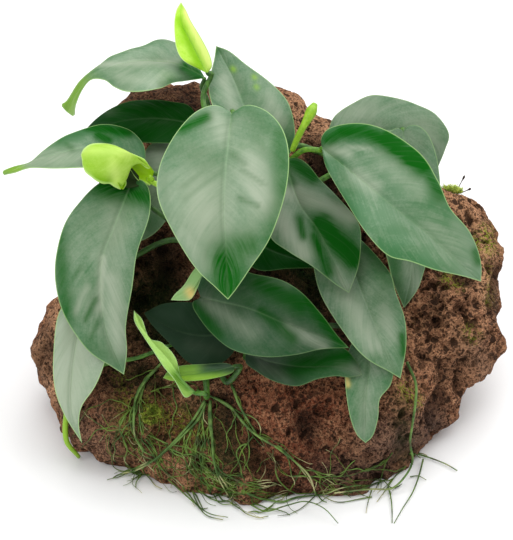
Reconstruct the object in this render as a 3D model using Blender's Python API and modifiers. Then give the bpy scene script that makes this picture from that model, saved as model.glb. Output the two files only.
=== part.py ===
"""A broad-leaved water plant grown onto a lump of red-brown lava stone.

+Z is up, -Y is the front, and the origin is the middle of the stone's flat underside.

The plant is laid out on a sheet that hangs across the view of somebody who stands in front and
looks down by VIEW_TILT. A place on the sheet is (across, down, toward): across and down count half
millimetres from the sheet's top left corner, and toward is how many millimetres the place stands
out of the sheet toward the viewer. Directions are (right, up, toward) for that viewer.
"""

import math
from dataclasses import dataclass

import bmesh
import bpy
from mathutils import Quaternion, Vector, noise
from mathutils.bvhtree import BVHTree

MM = 0.001

# The viewer and the sheet that the layout is given on.
VIEW_TILT = math.radians(35)
VIEW_DISTANCE = 1150 * MM
VIEW_CENTRE = Vector((0, 0, 70 * MM))
VIEW_RIGHT = Vector((1, 0, 0))
VIEW_UP = Vector((0, math.sin(VIEW_TILT), math.cos(VIEW_TILT)))
VIEW_TOWARD = Vector((0, -math.cos(VIEW_TILT), math.sin(VIEW_TILT)))
SHEET_MIDDLE = (256.5, 270)
SHEET_UNIT = 0.5

# Stone, in millimetres except for the share.
STONE_VOXEL = 5.0
STONE_ROUGHNESS = 7.0
LUMP_SPACING = 50.0
LEDGE_SPACING = 26.0
CRUMB_SPACING = 12.0
PIT_SPACING = 17.0
PIT_DEPTH = 4.0
STONE_TRIANGLE_SHARE = 0.225

# Plant, in millimetres except for the counts.
BLADE_THICKNESS = 0.8
BLADE_ROWS = 10
BLADE_COLUMNS = 4
STEM_RADIUS = 1.5
STEM_POINTS = 6
RHIZOME_RADIUS = 4.5
RHIZOME_POINTS = 14
ROOT_RADIUS = 0.9
ROOT_STEP = 10.0
GAP = 0.4


# Layout helpers ----------------------------------------------------------------------------------


def on_sheet(across, down, toward=0):
    """A place of the sheet as (right, up, toward) in millimetres from its middle."""
    right = (across - SHEET_MIDDLE[0]) * SHEET_UNIT
    up = (SHEET_MIDDLE[1] - down) * SHEET_UNIT
    return Vector((right, up, toward))


def in_room(place):
    """The point of the room that the viewer sees at this place of the sheet."""
    shrink = 1 - place.z * MM / VIEW_DISTANCE
    across = (VIEW_RIGHT * place.x + VIEW_UP * place.y) * shrink * MM
    return VIEW_CENTRE + across + VIEW_TOWARD * place.z * MM


def from_room(point):
    """The place of the sheet at which the viewer sees this point of the room."""
    offset = (point - VIEW_CENTRE) / MM
    toward = offset.dot(VIEW_TOWARD)
    shrink = 1 - toward * MM / VIEW_DISTANCE
    return Vector((offset.dot(VIEW_RIGHT) / shrink, offset.dot(VIEW_UP) / shrink, toward))


def along(points, share):
    """A smooth curve through the points, read at a share of its way from 0 to 1."""
    last = len(points) - 1
    place = min(max(share, 0.0), 1.0) * last
    index = min(int(place), last - 1)
    t = place - index
    start, end = points[index], points[index + 1]
    before = points[index - 1] if index else start * 2 - end
    after = points[index + 2] if index + 2 <= last else end * 2 - start
    return 0.5 * (
        start * 2
        + (end - before) * t
        + (before * 2 - start * 5 + end * 4 - after) * t * t
        + (start * 3 - before - end * 3 + after) * t * t * t
    )


def evenly(points, count):
    """count points at equal distances along the smooth curve through points."""
    fine = [along(points, i / 240) for i in range(241)]
    lengths = [0.0]
    for first, second in zip(fine, fine[1:]):
        lengths.append(lengths[-1] + (second - first).length)
    result = []
    index = 0
    for i in range(count):
        goal = lengths[-1] * i / (count - 1)
        while index < 239 and lengths[index + 1] < goal:
            index += 1
        step = lengths[index + 1] - lengths[index]
        result.append(fine[index].lerp(fine[index + 1], min(1.0, (goal - lengths[index]) / step)))
    return result


def ramp(low, high, value):
    """0 below low and 1 above high, with a smooth way between."""
    t = min(max((value - low) / (high - low), 0.0), 1.0)
    return t * t * (3 - 2 * t)


# Scene set-up ------------------------------------------------------------------------------------

for old in list(bpy.data.objects):
    bpy.data.objects.remove(old)

PLANT = bpy.data.collections.new("anubias_on_stone")
CUTTERS = bpy.data.collections.new("cutters")
bpy.context.scene.collection.children.link(PLANT)
bpy.context.scene.collection.children.link(CUTTERS)


def material(name, colour, roughness):
    made = bpy.data.materials.new(name)
    made.use_nodes = True
    shader = made.node_tree.nodes["Principled BSDF"]
    shader.inputs["Base Color"].default_value = (*colour, 1)
    shader.inputs["Roughness"].default_value = roughness
    shader.inputs["Metallic"].default_value = 0
    return made


LAVA = material("lava", (0.16, 0.075, 0.045), 0.95)
LEAF_GREEN = material("leaf_green", (0.06, 0.19, 0.06), 0.35)
YOUNG_GREEN = material("young_green", (0.36, 0.62, 0.05), 0.4)
STEM_GREEN = material("stem_green", (0.13, 0.30, 0.04), 0.45)
RHIZOME_GREEN = material("rhizome_green", (0.10, 0.16, 0.03), 0.6)
ROOT_GREEN = material("root_green", (0.07, 0.12, 0.03), 0.6)
MOSS_GREEN = material("moss_green", (0.22, 0.32, 0.03), 0.9)


def add(name, data, look):
    obj = bpy.data.objects.new(name, data)
    data.materials.append(look)
    PLANT.objects.link(obj)
    return obj


def evaluated_mesh(obj):
    graph = bpy.context.evaluated_depsgraph_get()
    return bpy.data.meshes.new_from_object(obj.evaluated_get(graph))


# Stone -------------------------------------------------------------------------------------------

# Each lump is (x, y, z, radius): where it sits and how far it bulges.
STONE_LUMPS = {
    "rear_left": (-40, 50, 104, 40),
    "rear_middle": (3, 48, 99, 41),
    "rear_right": (37, 40, 88, 40),
    "left_shoulder": (-58, 15, 70, 37),
    "left_ledge": (-78, -16, 32, 34),
    "left_knob": (-95, -19, 31, 22),
    "left_toe": (-63, -38, 24, 40),
    "front_toe": (7, -50, 23, 46),
    "left_foot": (-30, -56, 12, 31),
    "front_foot": (5, -66, 12, 34),
    "right_foot": (34, -62, 12, 33),
    "right_toe": (51, -44, 26, 43),
    "right_cheek": (91, -8, 49, 35),
    "right_shoulder": (94, 12, 60, 34),
    "right_top": (80, 26, 68, 31),
    "right_crest": (103, 27, 74, 20),
    "right_knob": (102, -14, 35, 23),
    "right_low": (85, -36, 19, 20),
    "core": (0, 14, 42, 52),
    "rear_foot": (-15, 42, 38, 50),
    "rear_right_foot": (58, 24, 32, 45),
    "rear_left_foot": (-58, 14, 30, 42),
    "middle_foot": (-12, -12, 14, 46),
    "right_middle_foot": (34, -6, 14, 40),
}

# Each hollow is (across, down, toward, reach, depth): a place of the sheet close to the skin, and the
# size in millimetres.
STONE_HOLLOWS = {
    "right_notch": (508, 323, -3, 7, 12),
    "right_step": (484, 388, -8, 5, 3),
    "right_dent": (474, 303, 24, 6, 4),
    "front_dent": (429, 405, 25, 7, 5),
    "front_right_dent": (398, 436, 36, 8, 4),
    "front_cleft": (308, 424, 55, 8, 6),
    "low_dent": (262, 470, 52, 9, 4),
    "left_dent": (76, 386, 35, 9, 4),
    "left_step": (46, 350, 14, 8, 4),
}


def skin_tree(mesh):
    """The stone's skin to measure distances from, without its flat underside."""
    skin = bmesh.new()
    skin.from_mesh(mesh)
    underside = [face for face in skin.faces if max(vertex.co.z for vertex in face.verts) < 0.01 * MM]
    bmesh.ops.delete(skin, geom=underside, context="FACES")
    tree = BVHTree.FromBMesh(skin)
    skin.free()
    return tree


def pit_depth(point):
    """How deep the surface sinks into its scattered large pits at a point, in millimetres."""
    distances, middles = noise.voronoi(point / (PIT_SPACING * MM))
    radius = 0.2 + 0.3 * abs(noise.cell(middles[0] * 7.3))
    return PIT_DEPTH * (1 - ramp(0.35 * radius, radius, distances[0]))


def stone_relief(point, hollows):
    """How far the surface stands out at a point: broad lumps, ledges, scattered pits, hollows."""
    lumps = noise.noise(point / (LUMP_SPACING * MM))
    ledges = abs(noise.noise(point / (LEDGE_SPACING * MM) + Vector((3, 1, 7)))) - 0.22
    crumbs = noise.noise(point / (CRUMB_SPACING * MM) + Vector((5, 9, 2)))
    relief = (0.7 * lumps - 1.1 * ledges + 0.35 * crumbs) * STONE_ROUGHNESS - pit_depth(point)
    for middle, reach, depth in hollows:
        away = (point - middle).length / (reach * MM)
        relief -= depth * math.exp(-away * away)
    return relief * MM


def stone_skin(stone):
    """The lumps under one skin with its relief, still closed below."""
    remesh = stone.modifiers.new("one_skin", "REMESH")
    remesh.mode = "VOXEL"
    remesh.voxel_size = STONE_VOXEL * MM
    soften = stone.modifiers.new("soften", "SMOOTH")
    soften.factor = 0.5
    soften.iterations = 6
    skin = evaluated_mesh(stone)
    stone.modifiers.clear()
    tree = skin_tree(skin)
    hollows = []
    for across, down, toward, reach, depth in STONE_HOLLOWS.values():
        middle = tree.find_nearest(in_room(on_sheet(across, down, toward)))[0]
        hollows.append((middle, reach, depth))
    places = [vertex.co.copy() for vertex in skin.vertices]
    normals = [vertex.normal.copy() for vertex in skin.vertices]
    for vertex, place, normal in zip(skin.vertices, places, normals):
        vertex.co = place + normal * stone_relief(place, hollows)
    return skin


def below_floor():
    """A cutter that takes away all that lies below the floor."""
    block = bmesh.new()
    bmesh.ops.create_cube(block, size=0.6)
    bmesh.ops.translate(block, vec=Vector((0, 0, -0.3)), verts=block.verts)
    mesh = bpy.data.meshes.new("below_floor")
    block.to_mesh(mesh)
    block.free()
    cutter = bpy.data.objects.new("below_floor", mesh)
    cutter.hide_render = True
    cutter.display_type = "WIRE"
    CUTTERS.objects.link(cutter)
    return cutter


def build_stone():
    cage = bmesh.new()
    for x, y, z, radius in STONE_LUMPS.values():
        ball = bmesh.ops.create_icosphere(cage, subdivisions=3, radius=radius * MM)
        bmesh.ops.translate(cage, vec=Vector((x, y, z)) * MM, verts=ball["verts"])
    lumps = bpy.data.meshes.new("stone")
    cage.to_mesh(lumps)
    cage.free()
    stone = add("stone", lumps, LAVA)
    stone.data = stone_skin(stone)
    thin = stone.modifiers.new("thin_out", "DECIMATE")
    thin.ratio = STONE_TRIANGLE_SHARE
    flat = stone.modifiers.new("flat_underside", "BOOLEAN")
    flat.operation = "DIFFERENCE"
    flat.object = below_floor()
    final = evaluated_mesh(stone)
    stone.modifiers.clear()
    stone.data = final
    final.materials.clear()
    final.materials.append(LAVA)
    final.shade_smooth()
    return stone


STONE_TREE = skin_tree(build_stone().data)


def clear_of_stone(place, lift):
    """place, pushed out until it is lift away from the stone and lift above the floor."""
    for _ in range(6):
        nearest, normal, _, distance = STONE_TREE.find_nearest(place)
        outside = (place - nearest).dot(normal) > 0
        if outside and distance >= lift * MM * 0.98:
            break
        place = nearest + normal * lift * MM
    place.z = max(place.z, lift * MM)
    return place


def lies_at(place, lift):
    """The point lift above the stone, or above the floor beside it, that is seen at a place."""
    eye = VIEW_CENTRE + VIEW_TOWARD * VIEW_DISTANCE
    ray = (in_room(Vector((place.x, place.y, 0))) - eye).normalized()
    point, normal, _, _ = STONE_TREE.ray_cast(eye, ray)
    if point is None:
        point = eye + ray * (eye.z / -ray.z)
        normal = Vector((0, 0, 1))
    return clear_of_stone(point + normal * lift * MM, lift)


# Tubes: rhizome, stems and roots -----------------------------------------------------------------


def tube(name, points, radii, look, bevel_resolution=1):
    curve = bpy.data.curves.new(name, "CURVE")
    curve.dimensions = "3D"
    curve.bevel_depth = MM
    curve.bevel_resolution = bevel_resolution
    curve.use_fill_caps = True
    line = curve.splines.new("POLY")
    line.points.add(len(points) - 1)
    for knot, place, radius in zip(line.points, points, radii):
        knot.co = (*place, 1)
        knot.radius = radius
    return add(name, curve, look)


def over_stone(line, radius, step):
    """A tube's points over the stone and the floor: they follow what the viewer sees at the places
    of the line, and stand off it where it falls away."""
    sheet_line = [on_sheet(*place) for place in line]
    length = sum((b - a).length for a, b in zip(sheet_line, sheet_line[1:]))
    count = max(4, round(length / step) + 1)
    lift = radius + GAP + 0.4
    path = [from_room(lies_at(place, lift)) for place in evenly(sheet_line, count)]
    for _ in range(8):
        for i in range(1, count - 1):
            path[i].z = max(path[i].z, (path[i - 1].z + path[i + 1].z) / 2 - 0.5)
    path = [clear_of_stone(in_room(place), lift) for place in path]
    for _ in range(5):
        for first, second in zip(path, path[1:]):
            for share in (0.25, 0.5, 0.75):
                between = first.lerp(second, share)
                push = clear_of_stone(between, lift) - between
                first += push
                second += push
    return path


# The rhizome creeps down the stone, from the top.
RHIZOME_LINE = [(272, 150), (262, 190), (246, 230), (236, 275), (228, 320), (214, 360), (206, 386)]


def build_rhizome():
    path = over_stone(RHIZOME_LINE, RHIZOME_RADIUS + 0.6, 10)
    path = evenly(path, RHIZOME_POINTS)
    last = RHIZOME_POINTS - 1
    radii = [RHIZOME_RADIUS * (0.75 + 0.25 * math.sin(math.pi * i / last)) for i in range(last + 1)]
    tube("rhizome", path, radii, RHIZOME_GREEN, bevel_resolution=2)
    return path


RHIZOME_PATH = build_rhizome()


# Leaves ------------------------------------------------------------------------------------------


@dataclass
class Leaf:
    """One leaf. midrib runs over places of the sheet from the stem to the tip, and the two margins,
    which have no toward of their own, go from the midrib's start to its end. facing holds the
    directions of the upper side on the way, fold turns each half about the midrib and bulge arches
    it, both positive toward the upper side. stem lists places that the stem passes."""

    name: str
    midrib: list
    margins: tuple
    facing: list
    joins: float
    fold: tuple = (8, 8)
    bulge: tuple = (0.06, 0.06)
    sweep: float = 1.4
    ripple: float = 0.8
    young: bool = False
    stem: tuple = ()


LEAVES = [
    Leaf("front", [(232, 113, 92), (226, 165, 98), (224, 209, 99), (226, 250, 96), (228, 299.5, 88)],
         ([(232, 113), (214, 105), (193, 114), (173, 138), (159, 168), (158, 198), (173, 232), (195, 267),
           (216, 288), (228, 299.5)],
          [(232, 113), (248, 105), (268, 112), (283, 130), (289, 157), (285, 195), (270, 238), (250, 268.5),
           (237, 288), (228, 299.5)]),
         [(-0.1, 0.1, 1), (-0.05, 0, 1), (0, 0.15, 1)], 0.24, stem=((258, 172, 62), (243, 130, 80))),
    Leaf("right", [(322, 148, 66), (351, 172, 74), (387, 202, 80), (423, 231, 80), (455, 260, 74),
                   (481, 281.5, 62)],
         ([(322, 148), (322, 137), (332, 127), (358, 123), (388, 131), (421, 154.5), (438, 181), (450, 208),
           (470, 232), (480, 257), (481, 281.5)],
          [(322, 148), (327, 169), (347, 203), (367, 234), (388, 255.5), (410, 261.5), (435, 270), (462, 276),
           (481, 281.5)]),
         [(0.1, 0.1, 1), (0.25, 0.1, 1), (0.3, 0.3, 1)], 0.03,
         stem=((281, 171, 33), (291, 160, 46), (304, 150, 58))),
    Leaf("rear_right", [(332, 150, 24), (365, 135, 22), (400, 131, 18), (425, 145, 12), (434, 176, 4)],
         ([(332, 150), (329, 132), (335, 115.5), (353, 103), (372, 95), (394, 98), (416, 104.5), (436, 114),
           (449, 133), (445, 150), (434, 176)],
          [(332, 150), (348, 162), (375, 168), (405, 172), (434, 176)]),
         [(0, 0.4, 1), (0.2, 0.5, 1)], 0.0, stem=((302, 146, 24),)),
    Leaf("right_behind", [(403, 131, 36), (408, 175, 42), (412, 225, 47), (412, 270, 47), (404, 308, 38)],
         ([(403, 131), (396, 128), (386, 137), (378, 165), (376, 200), (380, 232), (387, 258), (393, 282),
           (404, 308)],
          [(403, 131), (411, 125), (421, 127), (431, 139), (438, 163), (440, 195), (436, 232), (425, 268),
           (417, 290), (404, 308)]),
         [(0.2, 0.2, 1), (0.3, 0.1, 1)], 0.33, stem=((288, 200, 36), (335, 172, 37), (374, 152, 34))),
    Leaf("upper", [(268, 165, 38), (256, 135, 39), (243, 104, 34), (233, 78, 26), (216, 46, 14)],
         ([(268, 165), (245, 160), (224, 132), (211, 101), (209, 82), (214, 60), (216, 46)],
          [(268, 165), (288, 156), (295, 135), (289, 105), (273, 85), (248, 65.5), (230, 52), (216, 46)]),
         [(0.1, 0.2, 1), (0.2, 0.3, 1)], 0.06),
    Leaf("upper_left", [(205, 78, 24), (177, 65, 30), (153, 62, 36), (135, 62, 40), (117, 66, 43),
                        (104, 71, 44), (92, 77, 43), (78, 92, 38), (67, 112, 30)],
         ([(205, 78), (196, 62), (185, 50), (172, 41.5), (158, 40), (144, 46), (126, 51), (110, 56), (98, 65),
           (82, 79), (75, 88), (66, 101), (61, 105), (67, 112)],
          [(205, 78), (190, 80.5), (172, 83), (157, 89), (130, 92), (115, 88), (104, 80), (91, 80), (82, 91),
           (76, 104), (74, 116), (67, 112)]),
         [(0, 1.2, 1), (0, 1.2, 1), (-0.5, 0.6, 1)], 0.12, sweep=1.05, bulge=(0.1, 0.1),
         stem=((238, 160, 30), (215, 126, 30), (207, 100, 24))),
    Leaf("left", [(145, 161, 51), (110, 149, 56), (80, 149, 58), (50, 157, 57), (22, 166.5, 54),
                  (4, 175, 48)],
         ([(145, 161), (144, 147), (133, 133), (118, 126), (101, 124), (79, 131), (60, 139), (43, 151),
           (30, 162), (14, 166.5), (3, 171), (4, 175)],
          [(145, 161), (136, 166), (110, 168), (81, 167), (50, 169), (30, 168.5), (14, 173), (4, 175)]),
         [(0, 0.9, 1), (-0.1, 1.2, 1), (0, 1, 1)], 0.36, sweep=1.1, stem=((200, 184, 40), (165, 176, 44))),
    Leaf("upper_left_behind", [(200, 125, 26), (160, 119, 29), (125, 121, 28), (86, 131, 22)],
         ([(200, 125), (190, 107), (171, 101.5), (148, 100), (126, 102.5), (106, 111), (90, 125), (86, 131)],
          [(200, 125), (188, 141), (165, 143), (138, 142), (110, 138), (86, 131)]),
         [(0, 0.5, 1), (-0.2, 0.6, 1)], 0.22, stem=((226, 160, 22),)),
    Leaf("left_hanging", [(132, 181, 56), (115, 225, 64), (103, 257, 67), (101, 290, 66), (106, 330, 61),
                          (124, 374.5, 52)],
         ([(132, 181), (118, 181), (101, 183), (81, 200.5), (64, 226), (55, 264), (58, 297), (69, 324),
           (90, 352.5), (113, 367.5), (124, 374.5)],
          [(132, 181), (143, 181), (150, 193), (149, 217), (137, 254), (132, 288), (126, 325), (127, 352),
           (124, 374.5)]),
         [(-0.1, 0.3, 1), (-0.15, 0.1, 1), (-0.1, 0.1, 1)], 0.5, stem=((195, 235, 46), (152, 208, 48))),
    Leaf("lower_left", [(86, 296, 42), (78, 335, 45), (72, 375, 45), (72, 412, 41), (82, 443, 33)],
         ([(86, 296), (70, 300), (59, 314), (54, 345), (54, 383), (63, 412), (82, 443)],
          [(86, 296), (104, 305), (112, 332), (104, 366), (95, 387), (82, 406), (79, 424), (82, 443)]),
         [(-0.2, 0.1, 1), (-0.2, 0.1, 1)], 0.55, stem=((205, 250, 32), (171, 240, 34), (130, 260, 36))),
    Leaf("inner_left", [(185, 152, 27), (165, 185, 33), (145, 215, 35), (122, 246, 33)],
         ([(185, 152), (170, 144), (151, 144), (141, 162), (134, 192), (126, 222), (122, 246)],
          [(185, 152), (189, 168), (182, 192), (165, 222), (148, 238), (122, 246)]),
         [(0, 0.1, 1), (-0.1, 0.2, 1)], 0.3),
    Leaf("folded_tip", [(222, 252, 70), (203, 273, 76), (191, 289, 78), (171, 300, 76)],
         ([(222, 252), (206, 257), (193, 271), (184, 285), (175, 294), (171, 300)],
          [(222, 252), (212, 266), (202, 274), (198, 286), (191, 299), (181, 300.5), (171, 300)]),
         [(0, 0, -1), (0.2, 0, -1)], 0.58),
    Leaf("right_inner", [(285, 160, 54), (292, 185, 60), (302, 208, 64), (317, 229, 67), (330, 254, 66),
                         (349, 293, 60)],
         ([(285, 160), (275, 170), (267, 190), (264, 215), (271, 238), (288, 251.5), (313, 267), (335, 284),
           (349, 293)],
          [(285, 160), (297, 158), (309, 166), (322, 182), (347, 207), (359, 224), (361, 244), (358, 268),
           (349, 293)]),
         [(0.2, 0.3, 1), (0.15, 0.1, 1), (0.1, 0.3, 1)], 0.2, stem=((279, 184, 42),)),
    Leaf("right_long", [(335, 225, 38), (350, 262, 46), (366, 302, 55), (383, 342, 65), (400.5, 378.5, 66)],
         ([(335, 225), (322, 234), (314, 250), (314, 269), (321, 295), (340, 327), (363, 356), (388, 371),
           (400.5, 378.5)],
          [(335, 225), (350, 231), (371, 250), (390, 273), (396, 293), (405, 320), (406, 348),
           (400.5, 378.5)]),
         [(0.1, 0.2, 1), (0.15, 0.1, 1)], 0.44, stem=((288, 232, 42),)),
    Leaf("low_pale", [(372, 330, 54), (370, 365, 60), (366, 400, 63), (365.5, 443, 57)],
         ([(372, 330), (356, 338), (347, 356), (345, 380), (349, 412), (356, 433), (365.5, 443)],
          [(372, 330), (386, 340), (394, 360), (391, 384), (380, 399), (378, 418), (373, 435), (365.5, 443)]),
         [(0, 0.1, 1), (0, 0.2, 1)], 0.62, stem=((300, 322, 46), (345, 326, 48))),
    Leaf("centre_low", [(201, 298, 66), (221, 302, 72), (250, 309, 77), (281, 322, 78), (318, 336, 76),
                        (349, 348, 72)],
         ([(201, 298), (198, 284), (207, 271), (228, 267), (254, 274), (281, 280), (302, 293), (322, 314.5),
           (338, 336), (349, 348)],
          [(201, 298), (193, 303), (197, 315), (211, 333), (233, 350), (264, 357), (295, 355), (322, 349),
           (349, 348)]),
         [(-0.1, 0.2, 1), (0.1, 0.2, 1)], 0.66),
    Leaf("under_low", [(246, 353, 61), (270, 362, 66), (300, 367, 68), (335, 367, 68), (362, 375, 65)],
         ([(246, 353), (256, 344), (282, 341), (315, 341), (342, 347), (356, 360), (362, 375)],
          [(246, 353), (246, 363), (256, 371), (274, 381), (297, 386), (316, 379), (335, 376), (350, 377.5),
           (362, 375)]),
         [(0, 0.3, 1), (0, 0.4, 1)], 0.7, stem=((247, 334, 51),)),
    Leaf("centre_dark", [(245, 236, 42), (275, 252, 46), (326, 268, 33)],
         ([(245, 236), (258, 229), (285, 236), (310, 252), (326, 268)],
          [(245, 236), (242, 254), (251, 266.5), (264, 271), (290, 268.5), (326, 268)]),
         [(0, 0.3, 1), (0, 0.3, 1)], 0.48),
    Leaf("low_left_dark", [(232, 330, 54), (205, 336, 56), (175, 330, 55), (144, 313, 52)],
         ([(232, 330), (222, 312), (195, 303), (165, 304), (144, 313)],
          [(232, 330), (235, 349), (222, 363), (205, 367), (188, 362), (172, 346), (152, 325), (144, 313)]),
         [(0, 0.3, 1), (0, 0.2, 1)], 0.82),
    Leaf("low_left_bright", [(234, 366, 69), (220, 370, 68), (195, 374, 65), (163, 378, 61)],
         ([(234, 366), (224, 363), (206, 364), (185, 365), (171, 368), (163, 378)],
          [(234, 366), (233, 372), (220, 377), (198, 380.5), (174, 381), (163, 378)]),
         [(0, 0.3, 1), (0, 0.3, 1)], 0.9, stem=((226, 382, 59),)),
    Leaf("curled", [(194, 393, 66), (181, 380, 70), (169, 362, 72), (153, 344, 71), (140, 326, 68),
                    (134, 311, 66)],
         ([(194, 393), (184, 397), (174, 379), (164, 366), (155, 352), (144, 337), (135, 322), (134, 311)],
          [(194, 393), (186, 386), (180, 376), (176, 358), (163, 343), (149, 338), (142, 320), (134, 311)]),
         [(-1, 0, -0.8), (-0.8, -0.4, -0.8), (-1, 0, -0.8)], 0.99, stem=((207, 396, 60),)),
    Leaf("young_spear", [(207, 73, 42), (200, 59, 42), (191, 41, 41), (182, 23, 38), (181, 2, 34)],
         ([(207, 73), (197, 68), (183, 60), (176, 47), (174, 26), (176, 11), (181, 2)],
          [(207, 73), (212, 66), (209, 53), (200, 36), (191, 21), (186, 10), (181, 2)]),
         [(-0.3, 0, 1), (-0.3, 0, 1)], 0.16, fold=(35, 35), bulge=(0.1, 0.1), young=True,
         stem=((240, 168, 42), (212, 126, 42), (203, 98, 36))),
    Leaf("young_rolled", [(153, 179, 66), (137, 161, 72), (118, 155, 77), (101, 157, 78), (89, 159, 75),
                          (82, 157, 70)],
         ([(153, 179), (152, 168), (141, 157), (128, 149), (113, 144.5), (97, 145), (86, 149), (82, 157)],
          [(153, 179), (144, 173), (134, 166), (126, 166), (122, 174), (125, 187), (117, 189), (102, 181),
           (88, 174), (82, 165), (82, 157)]),
         [(0, 0.4, 1), (0, 0.3, 1)], 0.42, fold=(-25, -15), bulge=(0.25, 0.25), sweep=1.0, young=True,
         stem=((205, 205, 48), (170, 190, 60))),
]

SPINE_STEPS = 60


def spine_of(leaf):
    """The midrib's points, directions and the upper side's normals, SPINE_STEPS of each and one."""
    points = evenly([on_sheet(*place) for place in leaf.midrib], SPINE_STEPS + 1)
    facing = [Vector(direction).normalized() for direction in leaf.facing]
    tangents = []
    normals = []
    for i in range(SPINE_STEPS + 1):
        tangent = (points[min(i + 1, SPINE_STEPS)] - points[max(i - 1, 0)]).normalized()
        normal = along(facing, i / SPINE_STEPS)
        tangents.append(tangent)
        normals.append((normal - tangent * normal.dot(tangent)).normalized())
    return points, tangents, normals


def margin_of(leaf, which, spine, rows):
    """One margin in rows steps, each point brought onto the plane of its half of the blade."""
    points, tangents, normals = spine
    edge = evenly([on_sheet(*place) for place in leaf.margins[which]], rows + 1)
    sideways = 0
    for i, place in enumerate(edge):
        near = min(range(SPINE_STEPS + 1), key=lambda j: (points[j].xy - place.xy).length)
        root, tangent, normal = points[near], tangents[near], normals[near]
        if not sideways:
            beyond = edge[rows // 2]
            middle = points[SPINE_STEPS // 2]
            across = normals[SPINE_STEPS // 2].cross(tangents[SPINE_STEPS // 2])
            sideways = 1 if (beyond.xy - middle.xy).dot(across.xy) > 0 else -1
        angle = math.radians(leaf.fold[which]) * -sideways
        normal = Quaternion(tangent, -angle) @ normal
        slope = normal.z if abs(normal.z) > 0.3 else math.copysign(0.3, normal.z)
        offset = place.xy - root.xy
        wave = leaf.ripple * math.sin(2 * math.pi * (2.5 * i / rows + 0.4 * which + len(leaf.name) / 7))
        place.z = root.z - offset.dot(normal.xy) / slope + wave * min(1, offset.length / 8)
    return edge


def build_blade(leaf):
    spine = spine_of(leaf)
    points, _, normals = spine
    margins = [margin_of(leaf, which, spine, BLADE_ROWS) for which in (0, 1)]
    sheet = bmesh.new()
    bmesh.ops.create_grid(sheet, x_segments=BLADE_COLUMNS, y_segments=BLADE_ROWS, size=1)
    for vertex in sheet.verts:
        row = round((vertex.co.y + 1) / 2 * BLADE_ROWS)
        side = vertex.co.x
        which = 1 if side > 0 else 0
        share = (row / BLADE_ROWS) ** leaf.sweep
        rib = along(points, share)
        normal = along(normals, share)
        out = margins[which][row] - rib
        arch = leaf.bulge[which] * out.length * 4 * abs(side) * (1 - abs(side))
        vertex.co = in_room(rib + out * abs(side) + normal * arch)
    bmesh.ops.remove_doubles(sheet, verts=sheet.verts, dist=0.02 * MM)
    mesh = bpy.data.meshes.new("leaf_" + leaf.name)
    sheet.to_mesh(mesh)
    sheet.free()
    mesh.shade_smooth()
    blade = add("leaf_" + leaf.name, mesh, YOUNG_GREEN if leaf.young else LEAF_GREEN)
    thick = blade.modifiers.new("thickness", "SOLIDIFY")
    thick.thickness = BLADE_THICKNESS * MM
    thick.offset = 0
    return spine


def build_stem(leaf, spine):
    points, tangents, normals = spine
    place = leaf.joins * (RHIZOME_POINTS - 1)
    index = min(int(place), RHIZOME_POINTS - 2)
    before, after = RHIZOME_PATH[index], RHIZOME_PATH[index + 1]
    heart = before.lerp(after, place - index)
    grain = (after - before).normalized()
    end = in_room(points[0] - tangents[0] * 0.6 - normals[0] * 1.6)
    before_end = in_room(points[0] - tangents[0] * 2 - normals[0] * 6)
    passes = [in_room(on_sheet(*place)) for place in leaf.stem]
    aim = ([*passes, before_end][0] - heart).normalized() + VIEW_TOWARD
    outward = (aim - grain * aim.dot(grain)).normalized()
    start = heart + outward * (RHIZOME_RADIUS + GAP + 1) * MM
    path = evenly([start, start + outward * 4 * MM, *passes, before_end, end], STEM_POINTS)
    radii = [STEM_RADIUS * (1.1 - 0.2 * i / (STEM_POINTS - 1)) for i in range(STEM_POINTS)]
    tube("stem_" + leaf.name, path, radii, YOUNG_GREEN if leaf.young else STEM_GREEN)


for one in LEAVES:
    build_stem(one, build_blade(one))


# New shoots --------------------------------------------------------------------------------------


def build_shoot(name, places, radii):
    path = evenly([in_room(on_sheet(*place)) for place in places], len(radii))
    tube(name, path, radii, YOUNG_GREEN)


build_shoot(
    "new_shoot", [(292, 151, 52), (299, 135, 54), (307, 120, 54), (315, 104, 51)],
    [1.3, 1.5, 1.6, 1.7, 2.2, 2.7, 1.4],
)

# A second shoot creeps over the stone to its left end and turns down there.
LOW_SHOOT_LINE = [(222, 322), (196, 336), (165, 352), (135, 362), (108, 364), (86, 378), (73, 402), (70, 430),
                  (80, 459)]
LOW_SHOOT_RADIUS = 1.2


def build_low_shoot():
    path = over_stone(LOW_SHOOT_LINE, LOW_SHOOT_RADIUS + 0.2, 12)
    last = len(path) - 1
    radii = [LOW_SHOOT_RADIUS * (0.8 + 0.4 * math.sin(math.pi * (i / last) ** 3)) for i in range(last + 1)]
    tube("low_shoot", path, radii, YOUNG_GREEN)


build_low_shoot()


# Roots -------------------------------------------------------------------------------------------

ROOTS = {
    "root_left": [(206, 400), (201, 413), (192, 427), (180, 439), (165, 451), (150, 460), (136, 467),
                  (122, 476)],
    "root_hanging": [(211, 402), (212, 424), (214, 445), (214, 464), (221, 480), (230, 494)],
    "root_outer": [(158, 367), (149, 379), (138, 394), (134, 407), (133, 421), (136, 434), (143, 445),
                   (146, 450)],
    "root_slanting": [(215, 397), (234, 407), (250, 426), (267, 436), (282, 449), (296, 463), (307, 472),
                      (316, 492)],
    "root_right": [(404, 364), (411, 380), (412, 398), (409, 424), (409, 448), (409, 466), (400, 487),
                   (380, 492), (355, 488), (334, 491)],
    "root_floor_left": [(168, 476), (184, 492), (202, 513), (228, 520)],
    "root_floor_middle": [(250, 503), (262, 514), (288, 508), (315, 505), (338, 526)],
    "root_floor_right": [(423, 462), (419, 478), (412, 496), (402, 512), (394, 526)],
}


def build_root(name, line):
    path = over_stone(line, ROOT_RADIUS, ROOT_STEP)
    last = len(path) - 1
    radii = [ROOT_RADIUS * (1.2 - 0.6 * i / last) for i in range(last + 1)]
    tube(name, path, radii, ROOT_GREEN)


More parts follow.
